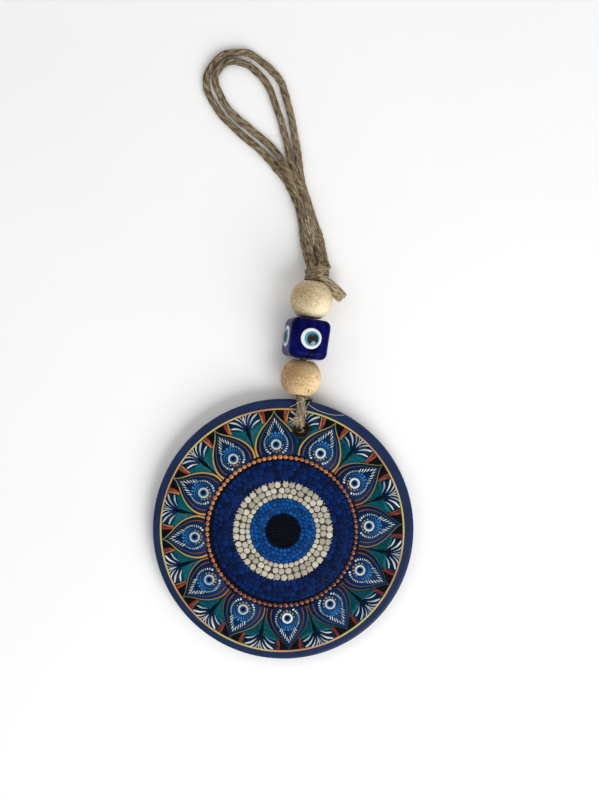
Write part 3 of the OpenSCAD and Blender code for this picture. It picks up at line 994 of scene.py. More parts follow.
def make_stray_fibres(material):
    loose = Shape()
    for line in STRAY_FIBRES:
        hair(loose, spline(line, 6), thick=0.085, tone=1.0, taper=0.3)
    make_piece("long_stray_fibres", loose, material, "lead")


# ---------------------------------------------------------------- board
BOTTOM_ROUND = 0.6
TOP_ROUND = 1.2
# Sides of the board's edge and of its hole
PLATE_SIDES = (256, 96)


def holed_plate(name, outer, inner, centre):
    """A plate with a round hole: profiles of (radius, z) up the edge and up the hole."""
    bm = bmesh.new()
    loops = []
    for profile, count, middle in zip((outer, inner), PLATE_SIDES, ((0, 0), centre)):
        rings = [[bm.verts.new(p) for p in circle(r, z, count, middle)] for r, z in profile]
        for a, b in zip(rings, rings[1:]):
            for k in range(count):
                bm.faces.new((a[k], a[(k + 1) % count], b[(k + 1) % count], b[k]))
        loops.append(rings)
    for end in (0, -1):
        edges = []
        for rings in loops:
            ring = rings[end]
            for k in range(len(ring)):
                pair = (ring[k], ring[(k + 1) % len(ring)])
                edges.append(bm.edges.get(pair) or bm.edges.new(pair))
        bmesh.ops.triangle_fill(bm, use_beauty=True, edges=edges)
    bmesh.ops.recalc_face_normals(bm, faces=bm.faces)
    mesh = bpy.data.meshes.new(name)
    bm.to_mesh(mesh)
    bm.free()
    mesh.shade_smooth()
    return mesh


def corner(r, z, radius, start, end, steps=8):
    """Points of a rounded edge about (r, z)."""
    return [(r + radius * math.cos(math.radians(a)), z + radius * math.sin(math.radians(a)))
            for a in np.linspace(start, end, steps)]


def make_board(lacquer_material, bare_material):
    """The lacquered board, bare inside its hole and on its back."""
    rim = box_radius("plaque_board")
    low, high = rim - BOTTOM_ROUND, rim - TOP_ROUND
    outer = [(rim - 1.5, 0), (low, 0)] + corner(low, BOTTOM_ROUND, BOTTOM_ROUND, -80, 0)
    outer += corner(high, BOARD_T - TOP_ROUND, TOP_ROUND, 0, 90, 12) + [(high - 0.35, BOARD_T)]
    inner = [(HOLE_R + 0.5, 0), (HOLE_R + 0.15, 0), (HOLE_R, 0.15), (HOLE_R, BOARD_T - 0.25),
             (HOLE_R + 0.12, BOARD_T - 0.04), (HOLE_R + 0.2, BOARD_T), (HOLE_R + 0.6, BOARD_T)]
    mesh = holed_plate("plaque", outer, inner, (0, HOLE_OFFSET))
    mesh.transform(Matrix.Scale(MM, 4) @ BOARD)
    mesh.materials.append(lacquer_material)
    mesh.materials.append(bare_material)
    hole = Vector(joint("hanger_swing")["pos_m"])
    for face in mesh.polygons:
        out = face.center - hole
        out -= FACE_NORMAL * out.dot(FACE_NORMAL)
        in_hole = out.length < (HOLE_R + 0.1) * MM
        face.material_index = 1 if in_hole or face.normal.dot(FACE_NORMAL) < -0.9 else 0
    register(link_mesh("plaque", mesh), "plaque", ["plaque_board"])


def make_ground(material):
    """The dark printed ground under all the paint."""
    outer = [(GOLD_OUTER_R - 1, -0.2), (GOLD_OUTER_R, -0.2), (GOLD_OUTER_R, -0.03),
             (GOLD_OUTER_R - 0.05, 0), (GOLD_OUTER_R - 0.6, 0)]
    inner = [(HOLE_R + 0.6, -0.2), (HOLE_R + 0.2, -0.2), (HOLE_R + 0.2, 0), (HOLE_R + 0.6, 0)]
    mesh = holed_plate("printed_ground_film", outer, inner, HOLE_IN_PRINT)
    mesh.transform(Matrix.Scale(MM, 4) @ PRINT)
    mesh.materials.append(material)
    film = link_mesh("printed_ground_film", mesh)
    register(film, "plaque", ["printed_ground"])


# ---------------------------------------------------------------- pebbled eye
# Each row of pebbles: radius, count, greatest radius of a pebble, jitter
PUPIL_ROWS = ((0.6, 3, 0.6, 0.1), (1.7, 9, 0.62, 0.12), (2.85, 15, 0.62, 0.12),
              (4.0, 21, 0.62, 0.14), (5.15, 27, 0.62, 0.14), (6.15, 34, 0.6, 0.1))
IRIS_ROWS = ((7.5, 29, 0.95, 0.2), (9.05, 34, 0.95, 0.26), (10.5, 39, 0.95, 0.26),
             (11.75, 48, 0.85, 0.16))
WHITE_ROWS = ((13.4, 42, 1.02, 0.12), (15.55, 37, 1.26, 0.26), (17.85, 43, 1.22, 0.14))
BLUE_ROWS = ((20.1, 52, 1.3, 0.2), (22.35, 56, 1.3, 0.26), (24.5, 62, 1.3, 0.26),
             (26.3, 76, 1.05, 0.14))
PEBBLE_RINGS = ((1, None), (0.985, 0.4), (0.92, 0.78), (0.78, 0.97), (0.45, 1.0))
PEBBLE_GAP = 0.14
# How much of a pebble's corners is worn off
PEBBLE_WEAR = 0.9
# Number of points at the copper dots' inner edge that the dark blue pebbles keep clear of
GUARD_COUNT = 110
WHITE_EDGE_DOTS = 84


def clip(polygon, point, normal):
    """The part of a convex polygon behind a line."""
    out = []
    for k, a in enumerate(polygon):
        b = polygon[(k + 1) % len(polygon)]
        da = (a[0] - point[0]) * normal[0] + (a[1] - point[1]) * normal[1]
        db = (b[0] - point[0]) * normal[0] + (b[1] - point[1]) * normal[1]
        if da <= 0:
            out.append(a)
        if (da < 0 < db) or (db < 0 < da):
            t = da / (da - db)
            out.append((a[0] + (b[0] - a[0]) * t, a[1] + (b[1] - a[1]) * t))
    return out


def rounded(polygon, passes):
    """Cuts a polygon's corners, again and again."""
    for _ in range(passes):
        cut = []
        for k, a in enumerate(polygon):
            b = polygon[(k + 1) % len(polygon)]
            cut.append((a[0] * 0.75 + b[0] * 0.25, a[1] * 0.75 + b[1] * 0.25))
            cut.append((a[0] * 0.25 + b[0] * 0.75, a[1] * 0.25 + b[1] * 0.75))
        polygon = cut
    return polygon


def seeds(rows, rng):
    """Centres of the pebbles in some rows, each with its greatest radius."""
    out = []
    for r, count, reach, jitter in rows:
        turn = rng.uniform(0, 360)
        for k in range(count):
            angle = turn + 360 * (k + rng.uniform(-jitter, jitter) * 0.8) / count
            out.append((*polar(r + rng.uniform(-jitter, jitter), angle), reach))
    return out


def pebble(centre, others, reach):
    """A pebble's outline: the room between its neighbours, with round corners."""
    x, y = centre
    size = reach * 1.25
    outline = [(x + size * math.cos(a), y + size * math.sin(a))
               for a in np.linspace(0, 2 * math.pi, 14, endpoint=False)]
    near = sorted(others, key=lambda o: (o[0] - x) ** 2 + (o[1] - y) ** 2)[1:12]
    for o in near:
        dx, dy = o[0] - x, o[1] - y
        gap = math.hypot(dx, dy)
        normal = (dx / gap, dy / gap)
        middle = gap / 2 - PEBBLE_GAP / 2
        outline = clip(outline, (x + normal[0] * middle, y + normal[1] * middle), normal)
    soft = rounded(outline, 3)
    spread = [math.dist(p, centre) for p in soft]
    even = sum(spread) / len(spread)
    out = []
    for p, d in zip(soft, spread):
        keep = min(d - PEBBLE_WEAR * max(0, d - even), reach) / max(d, 1e-6)
        out.append((x + (p[0] - x) * keep, y + (p[1] - y) * keep))
    return out


def make_eye(materials):
    """The pebbled eye: pupil, light blue, white and dark blue bands."""
    rng = random.Random(3)
    bands = {
        "pupil_pebbles": (PUPIL_ROWS, "black_paint", "eye_pupil_paint", 0.2),
        "light_blue_pebbles": (IRIS_ROWS, "light_blue_paint", "eye_light_blue_paint", 0.17),
        "white_pebbles": (WHITE_ROWS, "white_paint", "eye_white_paint", 0.24),
        "dark_blue_pebbles": (BLUE_ROWS, "navy_paint", "eye_dark_blue_paint", 0.16),
    }
    placed = {name: seeds(rows, rng) for name, (rows, *_) in bands.items()}
    guard = [(*polar(DOT_RING_R - 0.55, 360 * k / GUARD_COUNT), 1) for k in range(GUARD_COUNT)]
    everything = [s for group in placed.values() for s in group] + guard
    for name, (_, slot, node, height) in bands.items():
        shape = Shape()
        for x, y, reach in placed[name]:
            outline = pebble((x, y), everything, reach)
            tall = height * rng.uniform(0.85, 1.1)
            mound(shape, outline, (x, y), tall, 0, rng.random(), PEBBLE_RINGS)
        make_piece(name, shape, materials[slot], "plaque", EYE, [node])
    fill_white_edge(materials, rng)
    make_band_grounds(materials)


def fill_white_edge(materials, rng):
    """Tiny dots in the notches along the white band's outer edge."""
    shape = Shape()
    for k in range(WHITE_EDGE_DOTS):
        r = WHITE_R + rng.uniform(-0.02, 0.1)
        at = polar(r, 360 * (k + rng.uniform(-0.15, 0.15)) / WHITE_EDGE_DOTS)
        r = rng.uniform(0.2, 0.32)
        dot(shape, at, r, r, 0.2, tone=rng.random(), sides=10)
    make_piece("white_edge_dots", shape, materials["white_paint"], "plaque", EYE)


# Paint between the pebbles of each band: name, inner radius, outer radius, material, slot
BAND_GROUNDS = (
    ("light_blue_band_ground", PUPIL_R - 0.1, IRIS_R + 0.05, "iris_ground", "light_blue_paint"),
    ("white_band_ground", IRIS_R + 0.1, WHITE_R - 0.1, "grout", "white_paint"),
    ("dark_blue_band_ground", WHITE_R + 0.25, BLUE_R + 0.3, "navy_ground", "navy_paint"),
)


def make_band_grounds(materials):
    """The flat paint that shows between the pebbles."""
    count = 160
    for name, inner, outer, use, slot in BAND_GROUNDS:
        shape = Shape()
        rings = ((inner, -0.05), (inner, 0.03), (outer, 0.03), (outer, -0.05))
        shape.add([p for r, z in rings for p in circle(r, z, count)], strips(4, count, closed=True))
        make_piece(name, shape, materials[use], "plaque", EYE)


def make_dot_ring(material):
    """The ring of copper dots, each drawn out towards its neighbours."""
    rng = random.Random(9)
    shape = Shape()
    for k in range(DOT_COUNT):
        angle = 360 * k / DOT_COUNT
        at = polar(DOT_RING_R + rng.uniform(-0.06, 0.06), angle)
        # Painted highlight and shade: each dot is painted more golden towards the plaque's upper left and
        # darker towards its lower right.
        lit_tone = 0.05 + 0.85 * gleam(angle) + rng.uniform(-0.15, 0.15)
        dot(shape, at, 0.93, 0.84 * rng.uniform(0.92, 1.06), 0.6, angle, tone=min(1, max(0, lit_tone)),
            sides=18, point=0.12)
    make_piece("copper_dots", shape, material, "plaque", MANDALA, ["copper_dot_ring"])


def make_gold_line(material):
    """The thin line round the print, yellow and orange by turns."""
    shape = Shape()
    r = GOLD_OUTER_R - GOLD_W / 2
    count = 288
    verts, tones = [], []
    for k in range(count):
        angle = 360 * k / count
        tone = 0.5 + 0.5 * math.sin(math.radians(angle * 6 + 25))
        for across, up in STROKE_SECTION:
            x, y = polar(r + across * GOLD_W / 2, angle)
            verts.append((x, y, 0.22 * up if up else -SINK))
            tones.append(tone)
    shape.add(verts, strips(count, len(STROKE_SECTION), closed=True), tones)
    make_piece("gold_line", shape, material, "plaque", PRINT, ["gold_rim_line"])


# ---------------------------------------------------------------- mandala
# Radii between which the mandala is drawn out to the gold line
DRAWN_FROM = 39.0
DRAWN_TO = 46.0
# Lines of a petal's right side: radius, degrees from its axis
OUTER_SIDE = ((45.9, 0), (44.8, 0.6), (43.7, 1.6), (42.4, 3.3), (41.1, 5.4), (39.5, 7.9),
              (37.4, 10.6), (35.2, 12.6), (33.3, 13.8), (31.6, 14.1), (29.9, 13.7))
INNER_SIDE = ((43.6, 0.2), (42.5, 1.2), (41.2, 2.9), (39.8, 5.1), (38.0, 7.3), (35.6, 9.6),
              (33.5, 10.8), (31.8, 11.1), (30.2, 10.7))
OUTLINE_WIDTHS = (0.34, 0.4, 0.46, 0.52, 0.6, 0.76, 0.7)
WHITE_ARCH = ((30.3, 4.6), (31.1, 6.2), (32.2, 7.1), (33.4, 7.5), (34.6, 7.3), (35.7, 6.6),
              (36.7, 5.6), (37.5, 4.5))
FEATHER_EDGE = ((43.1, 0.0), (42.2, 0.95), (41.2, 2.0), (40.3, 3.0), (39.4, 3.9), (38.6, 4.8))
# Dots of an arch: place along it, half width and half length
ARCH_DOTS = ((0.1, 0.44, 0.5), (1.15, 0.38, 0.48), (2.05, 0.29, 0.46), (2.85, 0.25, 0.46),
             (3.6, 0.23, 0.44), (4.33, 0.22, 0.42), (5.03, 0.21, 0.4), (5.7, 0.2, 0.36),
             (6.35, 0.2, 0.32), (6.98, 0.19, 0.28), (7.6, 0.18, 0.25), (8.2, 0.17, 0.22),
             (8.8, 0.16, 0.2))
# Rows of light blue dots over a petal's eye: radius, half angle, count, size in the middle and at the ends
BLUE_DOT_ROWS = ((2.7, 118, 19, 0.36, 0.22), (3.5, 96, 15, 0.46, 0.24), (4.4, 50, 7, 0.56, 0.3))
INNER_WIDTHS = (0.12, 0.18, 0.22, 0.27, 0.36, 0.55, 0.5)
DROP_WIDTHS = (0.6, 1.3, 1.7, 1.6, 1.15, 0.85, 0.68, 0.58, 0.5, 0.42, 0.35)
# Pale strokes of a fan's right side: start, end and greatest width
FAN_STROKES = (
    ((41.0, 2.4), (43.3, 7.7), 0.8), ((42.3, 1.9), (45.7, 7.0), 0.95),
    ((43.3, 1.2), (46.2, 4.2), 0.6), ((43.6, 0.5), (46.2, 1.9), 0.4),
)
GOLD_BRACKET = ((46.0, 7.9), (44.6, 8.3), (43.2, 8.6), (41.7, 8.7))
RED_BRACKET = ((46.0, 9.4), (44.6, 9.6), (43.2, 9.5), (41.4, 9.1))
TEAL_FIELD = ((29.9, 0.5), (31.6, 0.8), (33.3, 1.2), (35.2, 2.3), (37.3, 4.3), (39.8, 7.0),
              (41.6, 9.0), (42.6, 8.6), (41.9, 5.5), (40.9, 2.2), (40.6, 0.0))
FAN_FIELD = ((40.6, 0.0), (40.9, 2.2), (41.9, 5.5), (42.6, 8.6), (44.4, 8.3), (46.0, 7.9),
             (46.05, 4.0), (46.1, 0.0))
PETAL_AXES = [(k + 0.5) * PETAL_STEP for k in range(PETALS)]
FAN_AXES = [k * PETAL_STEP for k in range(PETALS)]
# The mandala's pieces: paint, material slot and the CAD node that each stands for
MANDALA_PIECES = {
    "petal_bodies": ("blue_paint", "blue_paint", "petals_paint"),
    "petal_dull_outline": ("dull_outline", "gold_paint"),
    "petal_dim_outline": ("dim_outline", "gold_paint"),
    "petal_bright_outline": ("bright_outline", "gold_paint"),
    "petal_inner_lines": ("inline_paint", "copper_paint"),
    "petal_white_marks": ("white_marks", "white_paint"),
    "petal_blue_dots": ("sky_dots", "light_blue_paint"),
    "petal_eye_whites": ("white_marks", "white_paint", "petal_eye_rings"),
    "petal_eye_blues": ("sky_dots", "light_blue_paint"),
    "petal_eye_pupils": ("black_paint", "black_paint"),
    "petal_gold_dots": ("gold_dots", "gold_paint"),
    "fan_drops": ("black_paint", "black_paint", "fan_paint"),
    "fan_strokes": ("white_marks", "white_paint"),
    "fan_gold_brackets": ("bracket_paint", "gold_paint"),
    "fan_red_brackets": ("red_paint", "copper_paint"),
}


def ray(r, angle):
    """A point of the mandala, whose outer parts are drawn out to the gold line."""
    unit = polar(1, angle)
    line = GOLD_OUTER_R - GOLD_W + LINE_CENTRE[0] * unit[0] + LINE_CENTRE[1] * unit[1]
    share = min(1, max(0, (r - DRAWN_FROM) / (DRAWN_TO - DRAWN_FROM)))
    return polar(r + (line - DRAWN_TO) * share, angle)


def turned(points, axis, side=1):
    """Polar points of one side, turned to a petal's or a fan's axis."""
    return np.array([ray(r, axis + side * a) for r, a in points])


def gleam(angle):
    """How much painted highlight the metal paint gets, golden and bright where lit, dull in painted shade:
    1 at the plaque's upper left, 0 at its lower right.
    """
    return 0.5 + 0.5 * math.cos(math.radians(angle + 45))


def both_sides(half, axis):
    """Outline of a petal or a field: one side's polar points and their mirror image."""
    return [ray(r, axis + a) for r, a in half] + [ray(r, axis - a) for r, a in half[::-1]]


def add_to_mandala(materials, **shapes):
    """Makes the mandala's pieces out of their shapes, by name."""
    for name, shape in shapes.items():
        paint_use, slot, *nodes = MANDALA_PIECES[name]
        make_piece(name, shape, materials[paint_use], "plaque", MANDALA, nodes)


def flat_film(shape, outline, thick, tone=0.5):
    """A thin film of paint over an outline."""
    n = len(outline)
    verts = [(x, y, z) for z in (-SINK, thick) for x, y in outline]
    shape.add(verts, caps(2, n) + strips(2, n), tone)


def make_fields(materials):
    """Films of teal and dark blue between the petals."""
    for name, field, slot, thick in (("teal_fields", TEAL_FIELD, "teal_paint", 0.05),
                                     ("fan_fields", FAN_FIELD, "fan_blue_paint", 0.07)):
        shape = Shape()
        for axis in FAN_AXES:
            flat_film(shape, both_sides(spline(field, 5), axis), thick)
        obj = make_piece(name, shape, materials[slot], None, MANDALA)
        hole = HOLE_R + 0.2
        cut_round(obj, PRINT, ((hole, -2), (hole, 3)), 72, HOLE_IN_PRINT)
        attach(obj, "plaque")


def make_petals(materials):
    """The petals' blue bodies and the two lines of each side."""
    bodies, inlines = Shape(), Shape()
    outlines = {f"petal_{use}_outline": Shape() for use in ("dull", "dim", "bright")}
    rng = random.Random(15)
    for axis in PETAL_AXES:
        side = spline(OUTER_SIDE, 6)
        flat_film(bodies, both_sides(side, axis)[:-1], 0.09, tone=rng.uniform(0.35, 0.65))
        for s in (-1, 1):
            line = turned(side, axis, s)
            # Painted highlight and shade: each outline is painted brighter, more golden and wider towards
            # the plaque's upper left, duller towards its lower right.
            shine = gleam(axis - 6 * s)
            name = list(outlines)[min(2, int(shine * 3.4))]
            widths = [w * (0.6 + 0.5 * shine) for w in OUTLINE_WIDTHS]
            stroke(outlines[name], line, widths, 0.28, 0.05, (0.0, 1.0))
            inner = turned(spline(INNER_SIDE, 6), axis, s)
            stroke(inlines, inner, INNER_WIDTHS, 0.18, 0.08, (0.0, 1.0))
    add_to_mandala(materials, petal_bodies=bodies, **outlines, petal_inner_lines=inlines)


def make_petal_marks(materials):
    """White feathers and arches and light blue dots of each petal."""
    white, blue = Shape(), Shape()
    rng = random.Random(17)
    for axis in PETAL_AXES:
        eye = polar(PETAL_EYE_R, axis)
        for s in (-1, 1):
            for k, (r, a) in enumerate(FEATHER_EDGE):
                if k == 0 and s < 0:
                    continue
                end = np.array(ray(r, axis + s * a))
                aim = np.array(eye) - end
                aim /= np.linalg.norm(aim)
                start = end + aim * rng.uniform(1.5, 2.0)
                line = np.linspace(start, end, 7)
                stroke(white, line, (0.14, 0.3, 0.44, 0.46, 0.28), 0.24, 0.08, rng.random())
            arch = resample(spline([polar(r, axis + s * a) for r, a in WHITE_ARCH], 8), 0.05)
            for place, across, along in ARCH_DOTS:
                at = arch[min(len(arch) - 1, int(place / 0.05))]
                angle = math.degrees(math.atan2(at[0] - eye[0], at[1] - eye[1]))
                dot(white, tuple(at), across * 0.84, along, 0.26, angle - 10 * s, 0.07, rng.random(), 12)
        for ring, (reach, spread, count, big, small) in enumerate(BLUE_DOT_ROWS):
            for k in range(count):
                share = 2 * k / (count - 1) - 1
                angle = axis + share * spread
                at = beside(eye, reach, angle)
                size = small + (big - small) * (1 - abs(share)) ** 0.8
                tone = 0.25 + 0.3 * ring + 0.3 * (1 - abs(share)) + rng.uniform(-0.12, 0.12)
                dot(blue, at, size * 0.85, size * 0.95, 0.18, angle, 0.07, tone, 10)
    add_to_mandala(materials, petal_white_marks=white, petal_blue_dots=blue)


def make_petal_eyes(materials):
    """The small eye of each petal, and the gold dots under it."""
    rings, irises, pupils, gold = Shape(), Shape(), Shape(), Shape()
    rng = random.Random(19)
    for axis in PETAL_AXES:
        eye = polar(PETAL_EYE_R, axis)
        ring = np.array([beside(eye, 1.68, a) for a in np.linspace(0, 360, 41)])
        stroke(rings, ring, (0.88, 0.88), 0.34, 0.09, rng.random())
        dot(irises, eye, 1.35, 1.35, 0.1, 0, 0.07, 0.25, 20)
        dot(pupils, eye, 0.8, 0.8, 0.18, 0, 0.1, 0.3, 16)
        for k in range(7):
            angle = axis + 180 + (k - 3) * 27
            at, far = beside(eye, 2.62, angle), abs(k - 3)
            size = 0.42 - 0.05 * far
            dot(gold, at, size, size * 0.8, 0.24, angle, 0.08, 0.35 + 0.2 * far, 12)
        dot(gold, polar(30.6, axis), 0.62, 0.42, 0.28, axis, 0.07, 0.1, 14)
    add_to_mandala(materials, petal_eye_whites=rings, petal_eye_blues=irises,
                   petal_eye_pupils=pupils, petal_gold_dots=gold)


def make_fans(materials):
    """The fans between the petals: teardrop, pale strokes and brackets."""
    drops, pale, gold, red = Shape(), Shape(), Shape(), Shape()
    rng = random.Random(23)
    for axis in FAN_AXES:
        spine = turned([(r, 0) for r in np.linspace(42.2, 31.0, 26)], axis)
        stroke(drops, spine, DROP_WIDTHS, 0.2, 0.05, (0.75, 0.1))
        centre = turned([(r, 0) for r in np.linspace(42.7, 46.0, 9)], axis)
        stroke(pale, centre, (0.2, 0.34, 0.46, 0.5, 0.4), 0.2, 0.06, rng.random())
        for s in (-1, 1):
            for (r0, a0), (r1, a1), width in FAN_STROKES:
                middle = (0.5 * (r0 + r1) + 0.32, 0.5 * (a0 + a1) - 0.25)
                line = turned(spline(((r0, a0), middle, (r1, a1)), 6), axis, s)
                widths = [0.84 * width * share for share in (0.15, 0.4, 0.75, 1, 0.95, 0.55)]
                stroke(pale, line, widths, 0.22, 0.06, rng.random())
            # Painted highlight and shade: the brackets are painted brighter, and the gold ones wider,
            # towards the plaque's upper left.
            shine = gleam(axis + 8 * s)
            widths = [w * (0.35 + 0.8 * shine) for w in (0.5, 0.55, 0.5, 0.35)]
            stroke(gold, turned(spline(GOLD_BRACKET, 5), axis, s), widths, 0.22, 0.06,
                   (shine * 0.5, shine))
            stroke(red, turned(spline(RED_BRACKET, 5), axis, s), (1.4, 1.35, 1.25, 1.0), 0.2, 0.04,
                   (0.1 + 0.4 * shine, 0.1 + 0.6 * shine))
    add_to_mandala(materials, fan_drops=drops, fan_strokes=pale, fan_gold_brackets=gold,
                   fan_red_brackets=red)


# ---------------------------------------------------------------- beads and cube
BORE_R = 2.75
# A bead's half length as a share of its diameter
BEAD_LENGTH = 0.424
# Cracks: place round from the bead's top and along it in degrees, length, tilt and half width
LOWER_CRACKS = (((66, 24), 2.2, 35, 0.4), ((-52, 8), 1.5, 10, 0.2), ((-36, -38), 1.8, 20, 0.24))
# Painted light and shade: place, reach and depth; above 0 a painted shade, less than 0 a painted highlight
# where the wood is brighter
LOWER_PAINTED_LIGHT = (((20, 10), 4.5, 0.13), ((-60, -8), 4.5, -0.26), ((-5, -48), 3.5, -0.12))
UPPER_PAINTED_LIGHT = (((38, 16), 3.8, 0.12), ((5, 2), 4.0, 0.08), ((-42, -32), 5.0, -0.3))


def strung_frame(centre, axis, up):
    """Frame of a piece on the twine: +Z along the twine, +Y towards up."""
    z = Vector(axis).normalized()
    y = (Vector(up) - z * Vector(up).dot(z)).normalized()
    return basis(y.cross(z), y, z, centre)


def make_bead(node, cracks, painted_light, material, seed):
    """A turned wooden bead with flat ends, a flared bore and a few cracks."""
    rng = random.Random(seed)
    spin = joint(node + "_spin")
    low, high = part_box(node)
    radius = (high.z - low.z) / 2 / MM
    half = BEAD_LENGTH * (high.z - low.z) / MM
    place = strung_frame(Vector(spin["pos_m"]) / MM, spin["axis"], (0, 0, 1))
    rings = [(BORE_R, -half + 1.0), (BORE_R + 0.5, -half + 0.45), (BORE_R + 0.95, -half + 0.04)]
    edge = math.asin(half / radius)
    face = math.sqrt(radius ** 2 - half ** 2)
    rings += [(face - 0.35, -half), (face - 0.05, -half + 0.05)]
    for a in np.linspace(-edge + 0.035, edge - 0.035, 88):
        rings.append((radius * math.cos(a), radius * math.sin(a)))
    rings += [(r, -z) for r, z in rings[4::-1]]
    sides = 180
    verts, tones = [], []
    bumps = [(rng.uniform(0, 6.28), rng.uniform(0.5, 2.0)) for _ in range(4)]
    for r, z in rings:
        for k in range(sides):
            a = 2 * math.pi * k / sides
            p = Vector((r * math.sin(a), r * math.cos(a), z))
            uneven = sum(math.sin(f * a * 2 + q + z * 0.4) for q, f in bumps) * 0.012
            deep = crack_depth(p, cracks, radius)
            outside = abs(z) < half - 0.02 and r > BORE_R + 1
            shrink = 1 + (uneven - 0.35 * deep) / radius if outside else 1
            verts.append(p * shrink)
            # The tone holds the cracks' darkness and the painted light and shade.
            tones.append(0.9 * deep + painted_light_depth(p, painted_light, radius))
    shape = Shape()
    shape.add(verts, strips(len(rings), sides, closed=True), tones)
    make_piece(node.replace("bead", "wooden_bead"), shape, material, node, place, [node])


def on_bead(lon, lat):
    """Direction to a place on a bead: degrees round from its top and along its bore."""
    a, b = math.radians(lon), math.radians(lat)
    return Vector((math.sin(a) * math.cos(b), math.cos(a) * math.cos(b), math.sin(b)))


def painted_light_depth(point, painted_light, radius):
    """How much darker the wood is painted at a point: painted shade above 0, painted highlight below 0."""
    return sum(depth * math.exp(-((point - on_bead(*at) * radius).length / reach) ** 2)
               for at, reach, depth in painted_light)


def crack_depth(point, cracks, radius):
    """1 in the middle of a crack, 0 away from it."""
    deepest = 0.0
    for at, length, tilt, width in cracks:
        out = on_bead(*at)
        along = Vector((0, 0, 1)) - out * out.z
        along.normalize()
        side = out.cross(along)
        t = math.radians(tilt)
        run = along * math.cos(t) + side * math.sin(t)
        off = point - out * radius
        if point.dot(out) < 0.6 * radius:
            continue
        u = off.dot(run) / (length / 2)
        v = off.dot(run.cross(out)) / width
        deepest = max(deepest, max(0, 1 - abs(u) ** 3) * max(0, 1 - abs(v)))
    return deepest


CUBE_HALF = 7.6
CUBE_ROUND = 2.7
CUBE_CUTS = 22
# Widths at which the cube's bore flares out at its mouth
BORE_MOUTH = ((0.7, -1), (0.7, -0.1), (0.15, 0.6), (0, 1.2))


def cube_sides():
    """Points of a rounded cube's six faces, welded later."""
    half, inner = CUBE_HALF, CUBE_HALF - CUBE_ROUND
    verts, faces = [], []
    grid = np.linspace(-half, half, CUBE_CUTS)
    for axis in range(3):
        for sign in (-1, 1):
            start = len(verts)
            for u in grid:
                for v in grid:
                    p = [0, 0, 0]
                    p[axis] = sign * half
                    p[(axis + 1) % 3] = u
                    p[(axis + 2) % 3] = v
                    core = Vector([max(-inner, min(inner, c)) for c in p])
                    out = Vector(p) - core
                    q = core + out.normalized() * CUBE_ROUND
                    crown = (1 - (u / half) ** 2) * (1 - (v / half) ** 2)
                    q[axis] += sign * (0.10 * crown - 0.06)
                    wave = q.x * 0.5 + q.y * 0.37 + q.z * 0.43 + 1.3
                    verts.append(q * (1 + 0.05 * math.sin(wave) / half))
            m = CUBE_CUTS
            faces += [[start + i * m + j, start + i * m + j + 1, start + (i + 1) * m + j + 1,
                       start + (i + 1) * m + j] for i in range(m - 1) for j in range(m - 1)]
    return verts, faces


def make_cube(material):
    """The glass cube with its bore."""
    spin = joint("cube_spin")
    centre = Vector(spin["pos_m"]) / MM
    up = box_centre("top_eye_black") - centre
    place = strung_frame(centre, spin["axis"], up)
    verts, faces = cube_sides()
    mesh = bpy.data.meshes.new("glass_eye_cube")
    mesh.from_pydata(verts, [], faces)
    face_outward(mesh, weld=0.01)
    mesh.transform(Matrix.Scale(MM, 4) @ place)
    cube = link_mesh("glass_eye_cube", mesh)
    near = [(BORE_R + wider, -CUBE_HALF + z) for wider, z in BORE_MOUTH]
    cut_round(cube, place, near + [(r, -z) for r, z in near[::-1]], 64)
    cube.data.materials.clear()
    cube.data.materials.append(material)
    cube.data.shade_smooth()
    register(cube, "cube", ["glass_cube"])
    return place


# Layers of an eye: name, radius, foot, top at its edge, crown, offset and slot
EYE_LAYERS = (
    ("white", 3.95, -0.55, 0.14, 0.2, (0.0, 0.0), "white_glass"),
    ("blue", 2.9, 0.1, 0.36, 0.2, (-0.3, 0.1), "light_blue_glass"),
    ("black", 2.2, 0.3, 0.56, 0.5, (-0.5, 0.2), "black_glass"),
)
# The eye in the cube's left side stands out further than the others
LEFT_EYE_BULGE = 1.9


def make_cube_eyes(place, materials):
    """The layered eyes in the cube's four sides."""
    for k, side in enumerate(("top", "left", "bottom", "right")):
        seat = place.inverted() @ box_centre(f"{side}_eye_black")
        turn = math.atan2(-seat.x, seat.y)
        # +Z of the eye's own frame leaves the cube's face
        face = place @ Matrix.Rotation(turn, 4, "Z") @ Matrix.Rotation(-math.pi / 2, 4, "X")
        face = face @ Matrix.Translation((0, 0, CUBE_HALF + 0.02))
        bulge = LEFT_EYE_BULGE if side == "left" else 1.0
        for name, radius, foot, top, crown, shift, slot in EYE_LAYERS:
            shape = eye_layer(radius, foot, top * bulge, crown, shift, seed=100 + k)
            node = f"{side}_eye_{name}"
            make_piece(f"{side}_{name}_of_eye", shape, materials[slot], "cube", face, [node])


def eye_layer(radius, foot, top, crown, shift, seed):
    """A disc of glass with a soft edge and a crowned top."""
    rng = random.Random(seed)
    a1, a2 = rng.uniform(0, 6.28), rng.uniform(0, 6.28)
    sides = 64
    rings = [(0.97, foot), (1.0, foot + 0.1), (1.0, top - 0.1), (0.985, top - 0.03), (0.95, top + 0.01)]
    rings += [(s, top + crown * (1 - s ** 2)) for s in (0.88, 0.75, 0.55, 0.3)]
    verts = []
    for share, z in rings:
        for k in range(sides):
            a = 2 * math.pi * k / sides
            r = radius * share * (1 + 0.012 * math.sin(2 * a + a1) + 0.008 * math.sin(3 * a + a2))
            verts.append((shift[0] + r * math.cos(a), shift[1] + r * math.sin(a), z))
    verts.append((shift[0], shift[1], top + crown))
    shape = Shape()
    shape.add(verts, dome(len(rings), sides))
    return shape


